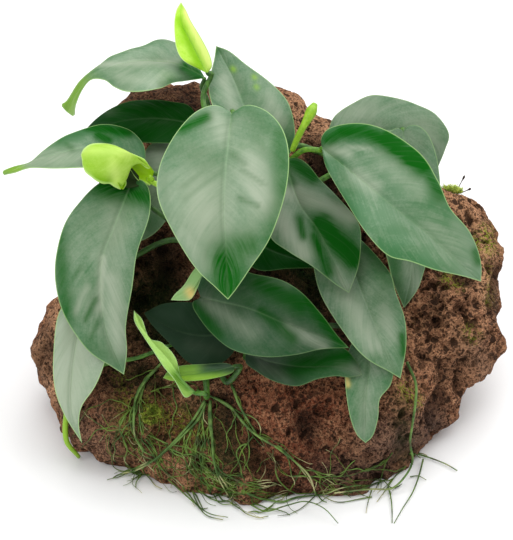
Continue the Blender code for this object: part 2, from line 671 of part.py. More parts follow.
for title, places in ROOTS.items():
    build_root(title, places)


# Moss --------------------------------------------------------------------------------------------

# Each cushion is (across, down, toward, reach, height), the last three in millimetres.
MOSS = {
    "moss_right": (452, 186, -22, 7, 3.5),
    "moss_front": (152, 414, 45, 6, 2),
}


def build_moss(name, across, down, toward, reach, height):
    middle, normal, _, _ = STONE_TREE.find_nearest(in_room(on_sheet(across, down, toward)))
    first = normal.orthogonal().normalized()
    second = normal.cross(first)
    cushion = bmesh.new()
    bmesh.ops.create_uvsphere(cushion, u_segments=8, v_segments=5, radius=1)
    for vertex in cushion.verts:
        x, y, z = vertex.co
        place = middle + (first * x + second * y) * reach * MM
        vertex.co = clear_of_stone(place, 1.2 + height * (z + 1) / 2)
    mesh = bpy.data.meshes.new(name)
    cushion.to_mesh(mesh)
    cushion.free()
    mesh.shade_smooth()
    add(name, mesh, MOSS_GREEN)


for title, size in MOSS.items():
    build_moss(title, *size)
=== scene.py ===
"""The looks of a broad-leaved water plant grown onto a lump of red-brown lava stone.

The solids of the frame hold the plant's layout. Here each of them gets its fine form and finish:
leaves with midrib, side veins and a pale rim, a porous stone, and the fine roots and moss.

A place on the sheet is (across, down, toward): across and down count half millimetres from the
sheet's top left corner, and toward is how many millimetres the place stands out of the sheet toward
a viewer who stands in front and looks down by VIEW_TILT. Directions are (right, up, toward).
"""

import math
import random
from dataclasses import dataclass, replace

import bmesh
import bpy
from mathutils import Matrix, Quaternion, Vector, noise
from mathutils.bvhtree import BVHTree


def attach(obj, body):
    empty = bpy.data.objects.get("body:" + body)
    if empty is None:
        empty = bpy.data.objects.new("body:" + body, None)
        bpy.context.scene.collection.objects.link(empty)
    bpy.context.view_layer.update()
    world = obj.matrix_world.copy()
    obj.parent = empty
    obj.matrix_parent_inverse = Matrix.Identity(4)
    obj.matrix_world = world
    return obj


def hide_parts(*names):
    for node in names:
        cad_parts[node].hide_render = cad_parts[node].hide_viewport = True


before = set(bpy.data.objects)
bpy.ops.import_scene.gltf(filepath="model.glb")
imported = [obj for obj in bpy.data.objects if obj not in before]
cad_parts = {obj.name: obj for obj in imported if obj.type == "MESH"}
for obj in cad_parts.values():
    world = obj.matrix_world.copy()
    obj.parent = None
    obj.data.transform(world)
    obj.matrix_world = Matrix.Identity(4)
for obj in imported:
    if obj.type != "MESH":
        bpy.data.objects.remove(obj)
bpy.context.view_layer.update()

MM = 0.001

# The viewer, and the sheet that the layout is given on.
VIEW_TILT = math.radians(35)
VIEW_DISTANCE = 1150 * MM
VIEW_CENTRE = Vector((0, 0, 70 * MM))
VIEW_RIGHT = Vector((1, 0, 0))
VIEW_UP = Vector((0, math.sin(VIEW_TILT), math.cos(VIEW_TILT)))
VIEW_TOWARD = Vector((0, -math.cos(VIEW_TILT), math.sin(VIEW_TILT)))
SHEET_MIDDLE = (256.5, 270)
SHEET_UNIT = 0.5

# The solids' own measures, in millimetres except for the counts, the weights and the shares of a cell.
STONE_VOXEL = 5.0
STONE_SOFTENING = 6
STONE_ROUGHNESS = 7.0
LUMP_SPACING, LUMP_WEIGHT = 50.0, 0.7
LEDGE_SPACING, LEDGE_WEIGHT, LEDGE_WIDTH = 26.0, 1.1, 0.22
CRUMB_SPACING, CRUMB_WEIGHT = 12.0, 0.35
PIT_SPACING, PIT_DEPTH = 17.0, 4.0
PIT_LEAST, PIT_MOST = 0.2, 0.5
BLADE_ROWS = 10
STEM_RADIUS = 1.5
RHIZOME_RADIUS = 4.5
RHIZOME_POINTS = 14
ROOT_RADIUS = 0.9
ROOT_STEP = 10.0
GAP = 0.4
TUBE_CLEARANCE = 0.4
LOW_SHOOT_RADIUS = 1.2

# The fine surfaces: counts, and measures in millimetres.
STONE_LEVELS = 2
FINE_ROWS = 72
FINE_COLUMNS = 36
BLADE_MIDDLE = 0.75
BLADE_RIM = 0.28
VEIN_SPACING = 6.5
VEIN_DEPTH = 0.09
RIB_WIDTH = 0.9
RIB_GROOVE = 0.15
RIB_KEEL = 0.6
STEM_RINGS, STEM_SIDES = 36, 14
RHIZOME_RINGS, RHIZOME_SIDES = 150, 20
SHOOT_RINGS, SHOOT_SIDES = 40, 16
LOW_SHOOT_RINGS, LOW_SHOOT_SIDES = 60, 12
ROOT_FINENESS = 8
STRAND_FINENESS, STRAND_SMOOTHING = 5, 3
ROOT_SIDES = 5
MOSS_SIDES = 4


# ---- Layout helpers

# The straight pieces that a smooth curve is measured by.
CURVE_STEPS = 240


def on_sheet(across, down, toward=0):
    """A place of the sheet as (right, up, toward) in millimetres from its middle."""
    right = (across - SHEET_MIDDLE[0]) * SHEET_UNIT
    up = (SHEET_MIDDLE[1] - down) * SHEET_UNIT
    return Vector((right, up, toward))


def line_on_sheet(places):
    return [on_sheet(*place) for place in places]


def in_room(place):
    """The point of the room that the viewer sees at this place of the sheet."""
    shrink = 1 - place.z * MM / VIEW_DISTANCE
    across = (VIEW_RIGHT * place.x + VIEW_UP * place.y) * shrink * MM
    return VIEW_CENTRE + across + VIEW_TOWARD * place.z * MM


def seen_at(across, down, toward):
    return in_room(on_sheet(across, down, toward))


def from_room(point):
    """The place of the sheet at which the viewer sees this point of the room."""
    offset = (point - VIEW_CENTRE) / MM
    toward = offset.dot(VIEW_TOWARD)
    shrink = 1 - toward * MM / VIEW_DISTANCE
    return Vector((offset.dot(VIEW_RIGHT) / shrink, offset.dot(VIEW_UP) / shrink, toward))


def length_of(points):
    return sum((second - first).length for first, second in zip(points, points[1:]))


def smoothed(points):
    """The points, each but the first and the last drawn toward its two neighbours."""
    between = [(a + b * 2 + c) / 4 for a, b, c in zip(points, points[1:], points[2:])]
    return [points[0], *between, points[-1]]


def along(points, share):
    """A smooth curve through the points, read at a share of its way from 0 to 1."""
    last = len(points) - 1
    place = min(max(share, 0.0), 1.0) * last
    index = min(int(place), last - 1)
    t = place - index
    start, end = points[index], points[index + 1]
    before = points[index - 1] if index else start * 2 - end
    after = points[index + 2] if index + 2 <= last else end * 2 - start
    return 0.5 * (
        start * 2
        + (end - before) * t
        + (before * 2 - start * 5 + end * 4 - after) * t * t
        + (start * 3 - before - end * 3 + after) * t * t * t
    )


def evenly(points, count):
    """count points at equal distances along the smooth curve through points."""
    fine = [along(points, i / CURVE_STEPS) for i in range(CURVE_STEPS + 1)]
    lengths = [0.0]
    for first, second in zip(fine, fine[1:]):
        lengths.append(lengths[-1] + (second - first).length)
    result = []
    index = 0
    for i in range(count):
        goal = lengths[-1] * i / (count - 1)
        while index < CURVE_STEPS - 1 and lengths[index + 1] < goal:
            index += 1
        share = (goal - lengths[index]) / (lengths[index + 1] - lengths[index])
        result.append(fine[index].lerp(fine[index + 1], min(1.0, share)))
    return result


def ramp(low, high, value):
    """0 below low and 1 above high, with a smooth way between."""
    t = min(max((value - low) / (high - low), 0.0), 1.0)
    return t * t * (3 - 2 * t)


# How many times its reach a patch is followed before it counts as gone.
PATCH_END = 2.5


def amounts_at(points, patches, kinds):
    """Yields each of the kinds with how much of it lies at each point of the room. A patch is
    (across, down, across, down, reach, strength): a line over the sheet and how far it spreads."""
    seen = [from_room(point).xy for point in points]
    for kind in kinds:
        amounts = [0.0] * len(points)
        for x0, y0, x1, y1, reach, strength in patches.get(kind, ()):
            start = on_sheet(x0, y0).xy
            run = on_sheet(x1, y1).xy - start
            squared = max(run.length_squared, 1e-6)
            for i, place in enumerate(seen):
                share = min(max((place - start).dot(run) / squared, 0.0), 1.0)
                away = (place - start - run * share).length / (reach * SHEET_UNIT)
                if away < PATCH_END:
                    amounts[i] = max(amounts[i], strength * math.exp(-away * away))
        yield kind, amounts


# ---- Node trees


class Look:
    """A Principled material that is put together from a few kinds of node. A value is a number, a
    colour or another node's output."""

    def __init__(self, name, roughness, specular):
        self.material = bpy.data.materials.new(name)
        self.material.use_nodes = True
        self.tree = self.material.node_tree
        self.shader = self.tree.nodes["Principled BSDF"]
        self.set("Roughness", roughness)
        self.set("Specular IOR Level", specular)
        self.place = self.add("TexCoord").outputs["Object"]

    def add(self, kind, **inputs):
        """A new node with these inputs, whose names have _ for each space."""
        node = self.tree.nodes.new("ShaderNode" + kind)
        for name, value in inputs.items():
            self.feed(node.inputs[name.replace("_", " ")], value)
        return node

    def feed(self, socket, value):
        if isinstance(value, bpy.types.NodeSocket):
            self.tree.links.new(value, socket)
        elif socket.type == "RGBA":
            socket.default_value = (*value, 1)
        else:
            socket.default_value = value

    def set(self, name, value):
        self.feed(self.shader.inputs[name], value)

    def noise(self, size, detail, roughness=0.55, place=None):
        """Noise from 0 to 1 whose features are about size metres."""
        place = place or self.place
        node = self.add("TexNoise", Scale=1 / size, Detail=detail, Roughness=roughness, Vector=place)
        return node.outputs["Fac"]

    def cells(self, size, warp):
        """Distance to the nearest cell's middle, in cells of about size metres that are bent by warp."""
        shift = self.add("TexNoise", Scale=0.8 / size, Vector=self.place)
        bend = self.add("VectorMath")
        bend.operation = "MULTIPLY_ADD"
        for socket, value in zip(bend.inputs, (shift.outputs["Color"], (warp * size,) * 3, self.place)):
            self.feed(socket, value)
        return self.add("TexVoronoi", Scale=1 / size, Vector=bend.outputs["Vector"]).outputs["Distance"]

    def along_veins(self, across, along):
        """Noise drawn out along a blade's side veins: across and along count its features for each
        vein and for each half of the blade."""
        over = self.math("MULTIPLY", self.painted("vein"), across)
        node = self.add("CombineXYZ", X=over, Y=self.math("MULTIPLY", self.painted("side"), along))
        return self.noise(1, 3, place=node.outputs["Vector"])

    def facing_up(self):
        """How far the surface faces upward, from -1 to 1."""
        return self.add("SeparateXYZ", Vector=self.add("NewGeometry").outputs["Normal"]).outputs["Z"]

    def painted(self, name):
        """A value stored on the mesh's points."""
        node = self.add("Attribute")
        node.attribute_name = name
        return node.outputs["Fac"]

    def reach(self, value, low, high, bottom=0.0, top=1.0):
        """bottom where value is low and top where it is high, smooth between."""
        node = self.add("MapRange")
        node.interpolation_type = "SMOOTHSTEP"
        for socket, part in zip(node.inputs, (value, low, high, bottom, top)):
            self.feed(socket, part)
        return node.outputs["Result"]

    def math(self, operation, *values):
        node = self.add("Math")
        node.operation = operation
        for socket, value in zip(node.inputs, values):
            self.feed(socket, value)
        return node.outputs["Value"]

    def mix(self, share, first, second):
        """The first colour where share is 0, and the second where it is 1."""
        node = self.add("Mix", Factor=share)
        node.data_type = "RGBA"
        self.feed(node.inputs[6], first)
        self.feed(node.inputs[7], second)
        return node.outputs[2]

    def bump(self, height, distance, strength):
        """Small relief that the mesh doesn't hold, distance metres high."""
        node = self.add("Bump", Strength=strength, Distance=distance, Height=height)
        self.set("Normal", node.outputs["Normal"])


def show(piece, look, slot, *nodes):
    """Finishes a piece: its material, its body and the solids that it stands for. Its slot is not used."""
    piece.data.materials.clear()
    piece.data.materials.append(look)
    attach(piece, "root")
    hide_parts(*nodes)


def new_object(name, data):
    piece = bpy.data.objects.new(name, data)
    bpy.context.scene.collection.objects.link(piece)
    return piece


def evaluated_mesh(piece):
    graph = bpy.context.evaluated_depsgraph_get()
    return bpy.data.meshes.new_from_object(piece.evaluated_get(graph))


def paint(mesh, name, values):
    mesh.attributes.new(name, "FLOAT", "POINT").data.foreach_set("value", values)


# ---- Stone

# Each lump is (x, y, z, radius) in millimetres: where it sits and how far it bulges.
STONE_LUMPS = {
    "rear_left": (-40, 50, 104, 40),
    "rear_middle": (3, 48, 99, 41),
    "rear_right": (37, 40, 88, 40),
    "left_shoulder": (-58, 15, 70, 37),
    "left_ledge": (-78, -16, 32, 34),
    "left_knob": (-95, -19, 31, 22),
    "left_toe": (-63, -38, 24, 40),
    "front_toe": (7, -50, 23, 46),
    "left_foot": (-30, -56, 12, 31),
    "front_foot": (5, -66, 12, 34),
    "right_foot": (34, -62, 12, 33),
    "right_toe": (51, -44, 26, 43),
    "right_cheek": (91, -8, 49, 35),
    "right_shoulder": (94, 12, 60, 34),
    "right_top": (80, 26, 68, 31),
    "right_crest": (103, 27, 74, 20),
    "right_knob": (102, -14, 35, 23),
    "right_low": (85, -36, 19, 20),
    "core": (0, 14, 42, 52),
    "rear_foot": (-15, 42, 38, 50),
    "rear_right_foot": (58, 24, 32, 45),
    "rear_left_foot": (-58, 14, 30, 42),
    "middle_foot": (-12, -12, 14, 46),
    "right_middle_foot": (34, -6, 14, 40),
}

# Each hollow is (across, down, toward, reach, depth): a place of the sheet close to the skin, and the
# size in millimetres.
STONE_HOLLOWS = {
    "right_notch": (508, 323, -3, 7, 12),
    "right_step": (484, 388, -8, 5, 3),
    "right_dent": (474, 303, 24, 6, 4),
    "front_dent": (429, 405, 25, 7, 5),
    "front_right_dent": (398, 436, 36, 8, 4),
    "front_cleft": (308, 424, 55, 8, 6),
    "low_dent": (262, 470, 52, 9, 4),
    "left_dent": (76, 386, 35, 9, 4),
    "left_step": (46, 350, 14, 8, 4),
}


def skin_tree(mesh):
    """A stone's skin to measure distances from, without its flat underside."""
    skin = bmesh.new()
    skin.from_mesh(mesh)
    underside = [face for face in skin.faces if max(vertex.co.z for vertex in face.verts) < 0.01 * MM]
    bmesh.ops.delete(skin, geom=underside, context="FACES")
    tree = BVHTree.FromBMesh(skin)
    skin.free()
    return tree


def cell_radius(middle, least, most):
    """A radius between least and most, drawn for the noise cell that has this middle."""
    return least + (most - least) * abs(noise.cell(middle * 7.3))


def pit_depth(point):
    """How deep the surface sinks into its scattered large pits at a point, in millimetres."""
    distances, middles = noise.voronoi(point / (PIT_SPACING * MM))
    radius = cell_radius(middles[0], PIT_LEAST, PIT_MOST)
    return PIT_DEPTH * (1 - ramp(0.35 * radius, radius, distances[0]))


def stone_relief(point, hollows):
    """How far the surface stands out at a point: broad lumps, ledges, scattered pits, hollows."""
    lumps = noise.noise(point / (LUMP_SPACING * MM))
    ledges = abs(noise.noise(point / (LEDGE_SPACING * MM) + Vector((3, 1, 7)))) - LEDGE_WIDTH
    crumbs = noise.noise(point / (CRUMB_SPACING * MM) + Vector((5, 9, 2)))
    relief = LUMP_WEIGHT * lumps - LEDGE_WEIGHT * ledges + CRUMB_WEIGHT * crumbs
    relief = relief * STONE_ROUGHNESS - pit_depth(point)
    for middle, reach, depth in hollows:
        away = (point - middle).length / (reach * MM)
        relief -= depth * math.exp(-away * away)
    return relief * MM


# Each kind of pore is (cell size and depth in millimetres, least and most radius as a share of the cell).
PORES = [(8.5, 2.6, 0.10, 0.36), (4.4, 1.9, 0.16, 0.42)]


def pore_depth(point):
    """How deep the surface sinks into open pores at a point, in millimetres."""
    sunk = 0.0
    # The pores are wider on the right, and crowd together here and there.
    crowd = 0.75 + 0.5 * ramp(-0.02, 0.08, point.x) + 0.5 * noise.noise(point * 30)
    for k, (size, depth, least, most) in enumerate(PORES):
        offsets = (k, 0, 9), (5, k, 0), (0, 7, k)
        warp = Vector([noise.noise(point * 210 + Vector(offset)) for offset in offsets])
        distances, middles = noise.voronoi(point / (size * MM) + warp * 0.35 + Vector((k * 11, 3, 5)))
        radius = cell_radius(middles[0], least, most) * crowd
        sunk += depth * (1 - ramp(radius * 0.45, radius, distances[0]))
    return sunk


def fine_relief(point):
    """Crumbs and ridges finer than the solid holds, in millimetres."""
    crumbs = noise.fractal(point * 170, 0.9, 2.1, 4)
    ridges = 1 - abs(noise.noise(point * 75 + Vector((4, 4, 1)))) * 3
    return 0.95 * crumbs + 0.5 * ridges


def melted_lumps():
    """The stone's lumps in one smooth skin, as an object whose modifiers are still live."""
    cage = bmesh.new()
    for x, y, z, radius in STONE_LUMPS.values():
        ball = bmesh.ops.create_icosphere(cage, subdivisions=3, radius=radius * MM)
        bmesh.ops.translate(cage, vec=Vector((x, y, z)) * MM, verts=ball["verts"])
    lumps = bpy.data.meshes.new("lava_lump")
    cage.to_mesh(lumps)
    cage.free()
    stone = new_object("lava_stone", lumps)
    remesh = stone.modifiers.new("one_skin", "REMESH")
    remesh.mode = "VOXEL"
    remesh.voxel_size = STONE_VOXEL * MM
    soften = stone.modifiers.new("soften", "SMOOTH")
    soften.factor = 0.5
    soften.iterations = STONE_SOFTENING
    return stone


def roughen(skin, hollows):
    """Moves the skin's points by the stone's relief, and paints on it what its look asks for."""
    places = [vertex.co.copy() for vertex in skin.vertices]
    normals = [vertex.normal.copy() for vertex in skin.vertices]
    pits = [pore_depth(place) for place in places]
    heights = [fine_relief(place) for place in places]
    reliefs = [stone_relief(place, hollows) for place in places]
    for i, vertex in enumerate(skin.vertices):
        vertex.co = places[i] + normals[i] * (reliefs[i] + (heights[i] - pits[i]) * MM)
    paint(skin, "relief", [relief / MM for relief in reliefs])
    paint(skin, "pit", pits)
    paint(skin, "height", heights)
    # The patches lie on the stone's front only.
    seen = [ramp(-0.1, 0.25, normal.dot(VIEW_TOWARD)) for normal in normals]
    for kind, amounts in amounts_at(places, STONE_PATCHES, STONE_PATCHES.keys()):
        paint(skin, kind, [amount * share for amount, share in zip(amounts, seen)])


def cut_at_floor(skin):
    """Cuts the skin off flat where the stone stands, and closes it there."""
    cut = bmesh.new()
    cut.from_mesh(skin)
    everything = cut.verts[:] + cut.edges[:] + cut.faces[:]
    bmesh.ops.bisect_plane(
        cut, geom=everything, dist=1e-6, plane_co=(0, 0, 0), plane_no=(0, 0, 1), clear_inner=True
    )
    bmesh.ops.contextual_create(cut, geom=[edge for edge in cut.edges if edge.is_boundary])
    cut.to_mesh(skin)
    cut.free()


def build_stone():
    stone = melted_lumps()
    tree = skin_tree(evaluated_mesh(stone))
    hollows = [
        (tree.find_nearest(seen_at(*place))[0], reach, depth)
        for *place, reach, depth in STONE_HOLLOWS.values()
    ]
    # The hollows are placed on the skin before it is made finer, as on the solid.
    finer = stone.modifiers.new("finer", "SUBSURF")
    finer.levels = finer.render_levels = STONE_LEVELS
    skin = evaluated_mesh(stone)
    stone.modifiers.clear()
    stone.data = skin
    roughen(skin, hollows)
    cut_at_floor(skin)
    skin.shade_smooth()
    return stone


# What the stone's front shows, as patches of each kind: dark is painted shade under the leaves and in
# hollows, algae by the roots, redder rock, lighter rock with painted light on its top and sides, greyer
# rock, rock with open coarse pores, and specks of yellow-green lichen.
STONE_PATCHES = {
    "dark": [
        (165, 255, 165, 330, 34, 1.0), (225, 265, 300, 300, 40, 1.0), (316, 155, 338, 208, 22, 1.0),
        (296, 268, 332, 292, 22, 1.0), (346, 228, 366, 252, 12, 1.0), (330, 318, 345, 345, 12, 0.9),
        (115, 100, 185, 92, 26, 0.75), (308, 416, 308, 432, 8, 0.6), (100, 330, 112, 415, 20, 0.6),
        (225, 400, 230, 470, 14, 0.6), (330, 450, 370, 470, 24, 0.4), (130, 300, 200, 350, 30, 0.8),
        (120, 380, 150, 370, 16, 0.6),
    ],
    "algae": [
        (150, 380, 140, 440, 26, 0.7), (142, 300, 195, 345, 34, 1.0), (290, 262, 330, 292, 20, 1.0),
        (190, 420, 225, 460, 34, 0.8), (400, 400, 408, 470, 12, 0.6),
    ],
    "red": [
        (255, 395, 345, 400, 24, 0.9), (130, 400, 190, 430, 22, 0.6), (250, 430, 310, 470, 30, 0.8),
    ],
    "light": [
        (440, 285, 446, 320, 16, 0.35), (462, 340, 476, 372, 20, 0.6), (290, 95, 335, 130, 30, 1.0),
        (455, 195, 495, 290, 26, 0.9), (395, 330, 470, 380, 26, 0.35), (38, 315, 45, 385, 34, 1.0),
        (296, 96, 330, 118, 16, 0.6),
    ],
    "grey": [
        (476, 350, 486, 380, 14, 0.5), (380, 440, 440, 440, 26, 0.8), (330, 480, 380, 470, 22, 0.7),
        (60, 420, 110, 450, 20, 0.5),
    ],
    "porous": [
        (460, 200, 480, 330, 34, 1.0), (420, 300, 460, 400, 30, 1.0), (295, 95, 325, 140, 24, 1.0),
        (290, 400, 350, 400, 14, 0.6),
    ],
    "lichen": [
        (487, 230, 491, 248, 8, 0.9), (447, 275, 460, 281, 7, 0.9), (476, 238, 480, 246, 6, 0.7),
        (493, 268, 495, 300, 6, 0.6), (468, 330, 474, 338, 6, 0.6), (404, 388, 414, 400, 8, 0.8),
        (120, 372, 128, 430, 10, 0.5), (150, 408, 190, 430, 14, 0.5),
    ],
}


# Pores finer than the mesh, as (cell size in metres, the distances from full depth to none, weight). The
# first kind is the coarse one, which is weak outside the porous patches.
FINE_PORES = [
    (0.0052, 0.18, 0.30, 1.0),
    (0.0030, 0.16, 0.32, 0.95),
    (0.0017, 0.20, 0.36, 0.8),
    (0.0010, 0.20, 0.42, 0.5),
]


def lava_rock(look, speckle):
    """The rock between the pores: brown, redder, lighter and dustier in places, with painted light where it
    faces up and on its light patches, and painted shade in its hollows.
    """
    broad = look.noise(0.022, 3)
    height, relief = look.painted("height"), look.painted("relief")
    rock = look.mix(look.reach(broad, 0.38, 0.62), (0.160, 0.060, 0.031), (0.320, 0.128, 0.066))
    rock = look.mix(look.painted("red"), rock, (0.215, 0.055, 0.024))
    # Lighter where the surface faces up: dust, and painted light from above.
    rock = look.mix(look.reach(look.facing_up(), 0.25, 0.95, 0, 0.35), rock, (0.330, 0.140, 0.070))
    # The light patches: lighter rock, and painted light on the stone's top and sides.
    rock = look.mix(look.painted("light"), rock, (0.740, 0.400, 0.220))
    rock = look.mix(look.reach(speckle, 0.45, 0.59, 0, 0.85), rock, (0.680, 0.350, 0.185))
    rock = look.mix(look.reach(height, 0.1, 1.3, 0, 0.45), rock, (0.480, 0.220, 0.110))
    rock = look.mix(look.reach(relief, 0.0, 4.0, 0, 0.5), rock, (0.580, 0.290, 0.150))
    grit = look.reach(look.noise(0.0008, 4, 0.8), 0.51, 0.61, 0, 0.6)
    rock = look.mix(grit, rock, (0.085, 0.032, 0.016))
    # Darker where the relief sinks in: painted shade in the stone's hollows.
    rock = look.mix(look.reach(relief, -5.5, -0.5, 0.75, 0), rock, (0.035, 0.015, 0.009))
    rock = look.mix(look.math("MULTIPLY", look.painted("red"), 0.65), rock, (0.170, 0.045, 0.020))
    return look.mix(look.painted("grey"), rock, look.mix(0.7, rock, (0.130, 0.095, 0.080)))


def lava_pores(look):
    """The painted shade of the pores at each place, and how deep they are there."""
    pore_shade = depth = look.reach(look.painted("pit"), 0.9, 2.4, 0, 0.85)
    coarse = look.reach(look.painted("porous"), 0.1, 0.8, 0.25, 1)
    for k, (size, least, most, weight) in enumerate(FINE_PORES):
        # A wide noise makes some of the pores large and closes others.
        width = look.math("MULTIPLY_ADD", look.noise(size * 1.8, 1), 0.8, -0.40)
        pore = look.reach(look.math("SUBTRACT", look.cells(size, 1.1), width), least, most, 1, 0)
        if k == 0:
            weight = look.math("MULTIPLY", weight, coarse)
        dark = look.math("MULTIPLY", pore, look.math("MULTIPLY", weight, 0.9))
        pore_shade = look.math("MAXIMUM", pore_shade, dark)
        depth = look.math("MAXIMUM", depth, look.math("MULTIPLY", pore, weight))
    return pore_shade, depth


def lava_look():
    look = Look("lava", roughness=0.95, specular=0.12)
    speckle = look.noise(0.0020, 6, 0.8)
    pore_shade, depth = lava_pores(look)
    algae, dark = look.painted("algae"), look.painted("dark")
    # The pores are painted near black: painted shade inside the holes.
    body = look.mix(pore_shade, lava_rock(look, speckle), (0.020, 0.010, 0.006))
    green = look.mix(look.reach(look.noise(0.005, 4), 0.35, 0.65, 0.3, 1), body, (0.035, 0.042, 0.010))
    body = look.mix(algae, body, green)
    lichen = look.reach(look.noise(0.0014, 3), 0.47, 0.56)
    body = look.mix(look.math("MULTIPLY", look.painted("lichen"), lichen), body, (0.330, 0.370, 0.040))
    # The dark patches are painted shade, near black and greener where algae grow.
    shadow = look.mix(algae, (0.010, 0.007, 0.004), (0.006, 0.022, 0.003))
    look.set("Base Color", look.mix(dark, body, look.mix(0.9, body, shadow)))
    solid = look.math("SUBTRACT", 1.0, depth)
    look.bump(look.math("MULTIPLY_ADD", speckle, 0.6, solid), 0.0030, 1.0)
    return look.material


show(build_stone(), lava_look(), "lava", "stone")

STONE_TREE = skin_tree(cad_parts["stone"].data)


# How often a place is pushed out of the stone, and the share of its lift at which it counts as clear.
PUSHES = 6
CLEAR_SHARE = 0.98


def clear_of_stone(place, lift):
    """place, pushed out until it is lift away from the stone and lift above the floor."""
    for _ in range(PUSHES):
        nearest, normal, _, distance = STONE_TREE.find_nearest(place)
        outside = (place - nearest).dot(normal) > 0
        if outside and distance >= lift * MM * CLEAR_SHARE:
            break
        place = nearest + normal * lift * MM
    place.z = max(place.z, lift * MM)
    return place


def lies_at(place, lift):
    """The point lift above the stone, or above the floor beside it, that is seen at a place."""
    eye = VIEW_CENTRE + VIEW_TOWARD * VIEW_DISTANCE
    ray = (in_room(Vector((place.x, place.y, 0))) - eye).normalized()
    point, normal, _, _ = STONE_TREE.ray_cast(eye, ray)
    if point is None:
        point = eye + ray * (eye.z / -ray.z)
        normal = Vector((0, 0, 1))
    return clear_of_stone(point + normal * lift * MM, lift)


# ---- Tubes

# How far below its neighbours' middle a tube's point may hang in millimetres, and the passes that
# lift the hanging points and then clear the ways between them.
SAG = 0.5
LIFTING_PASSES = 8
CLEARING_PASSES = 5


def tubes(name, lines, sides):
    """One mesh of many tubes. Each line is (points, radii in millimetres). Painted on it are share,
    from 0 to 1 along each tube, and thick, the tube's widest radius."""
    places, faces, shares, widths = [], [], [], []
    for points, radii in lines:
        last = len(points) - 1
        side = (points[1] - points[0]).orthogonal()
        for i, (place, radius) in enumerate(zip(points, radii)):
            way = (points[min(i + 1, last)] - points[max(i - 1, 0)]).normalized()
            side = (side - way * side.dot(way)).normalized()
            ring = len(places)
            for k in range(sides):
                places.append(place + Quaternion(way, 2 * math.pi * k / sides) @ side * radius * MM)
                if i:
                    after = (k + 1) % sides
                    faces.append((ring + k - sides, ring + after - sides, ring + after, ring + k))
            shares += [i / last] * sides
            widths += [max(radii)] * sides
            if i in (0, last):
                faces.append(tuple(ring + (k if i else sides - 1 - k) for k in range(sides)))
    mesh = bpy.data.meshes.new(name)
    mesh.from_pydata(places, [], faces)
    mesh.shade_smooth()
    paint(mesh, "share", shares)
    paint(mesh, "thick", widths)
    return new_object(name, mesh)


def over_stone(line, radius, step):
    """A tube's points over the stone and the floor: they follow what the viewer sees at the places
    of the line, and stand off it where it falls away."""
    sheet_line = line_on_sheet(line)
    count = max(4, round(length_of(sheet_line) / step) + 1)
    lift = radius + GAP + TUBE_CLEARANCE
    path = [from_room(lies_at(place, lift)) for place in evenly(sheet_line, count)]
    for _ in range(LIFTING_PASSES):
        for i in range(1, count - 1):
            path[i].z = max(path[i].z, (path[i - 1].z + path[i + 1].z) / 2 - SAG)
    path = [clear_of_stone(in_room(place), lift) for place in path]
    for _ in range(CLEARING_PASSES):
        for first, second in zip(path, path[1:]):
            for share in (0.25, 0.5, 0.75):
                between = first.lerp(second, share)
                push = clear_of_stone(between, lift) - between
                first += push
                second += push
    return path


# ---- Rhizome

RHIZOME_LINE = [(272, 150), (262, 190), (246, 230), (236, 275), (228, 320), (214, 360), (206, 386)]

# The distance between the rings that fallen leaves left on the rhizome, in millimetres.
SCAR_SPACING = 3.4


def rhizome_path():
    path = over_stone(RHIZOME_LINE, RHIZOME_RADIUS + 0.6, 10)
    return evenly(path, RHIZOME_POINTS)


def build_rhizome(path):
    fine = evenly(path, RHIZOME_RINGS)
    last = RHIZOME_RINGS - 1
    radii = []
    walked = 0.0
    for i, place in enumerate(fine):
        walked += (place - fine[i - 1]).length / MM if i else 0
        body = 0.75 + 0.25 * math.sin(math.pi * i / last)
        scar = abs(math.sin(math.pi * walked / SCAR_SPACING))
        end = math.sqrt(min(1.0, 8 * min(i, last - i) / RHIZOME_RINGS + 0.02))
        radii.append(RHIZOME_RADIUS * body * (0.9 + 0.12 * scar) * end)
    return tubes("rhizome_body", [(fine, radii)], RHIZOME_SIDES)


def rhizome_look():
    look = Look("rhizome", roughness=0.6, specular=0.35)
    patch = look.reach(look.noise(0.006, 4), 0.35, 0.65)
    green = look.mix(patch, (0.045, 0.065, 0.012), (0.11, 0.15, 0.03))
    bark = look.reach(look.noise(0.0016, 3), 0.55, 0.7)
    look.set("Base Color", look.mix(bark, green, (0.11, 0.07, 0.035)))
    look.bump(look.noise(0.0012, 4), 0.0006, 0.6)
    return look.material


RHIZOME_PATH = rhizome_path()
show(build_rhizome(RHIZOME_PATH), rhizome_look(), "rhizome", "rhizome")


# ---- Leaves


@dataclass
class Leaf:
    """One leaf. midrib runs over places of the sheet from the stem to the tip. one_margin and
    other_margin run on its two sides between those ends, and have no toward of their own. facing
    holds the directions of the upper side on the way, fold turns each half about the midrib and
    bulge arches it, both positive toward the upper side. joins is the share of the rhizome at which
    the stem leaves it, and stem lists the places that it passes. A sweep above 1 slants the blade's
    rows toward the tip, ripple is the wave of the margins in millimetres, and rib is how strong the
    midrib is."""

    name: str
    midrib: list
    one_margin: list
    other_margin: list
    facing: list
    joins: float
    fold: tuple = (8, 8)
    bulge: tuple = (0.06, 0.06)
    sweep: float = 1.4
    ripple: float = 0.8
    young: bool = False
    stem: tuple = ()
    rib: float = 1.0

    @property
    def margins(self):
        base, tip = self.midrib[0][:2], self.midrib[-1][:2]
        return [[base, *between, tip] for between in (self.one_margin, self.other_margin)]


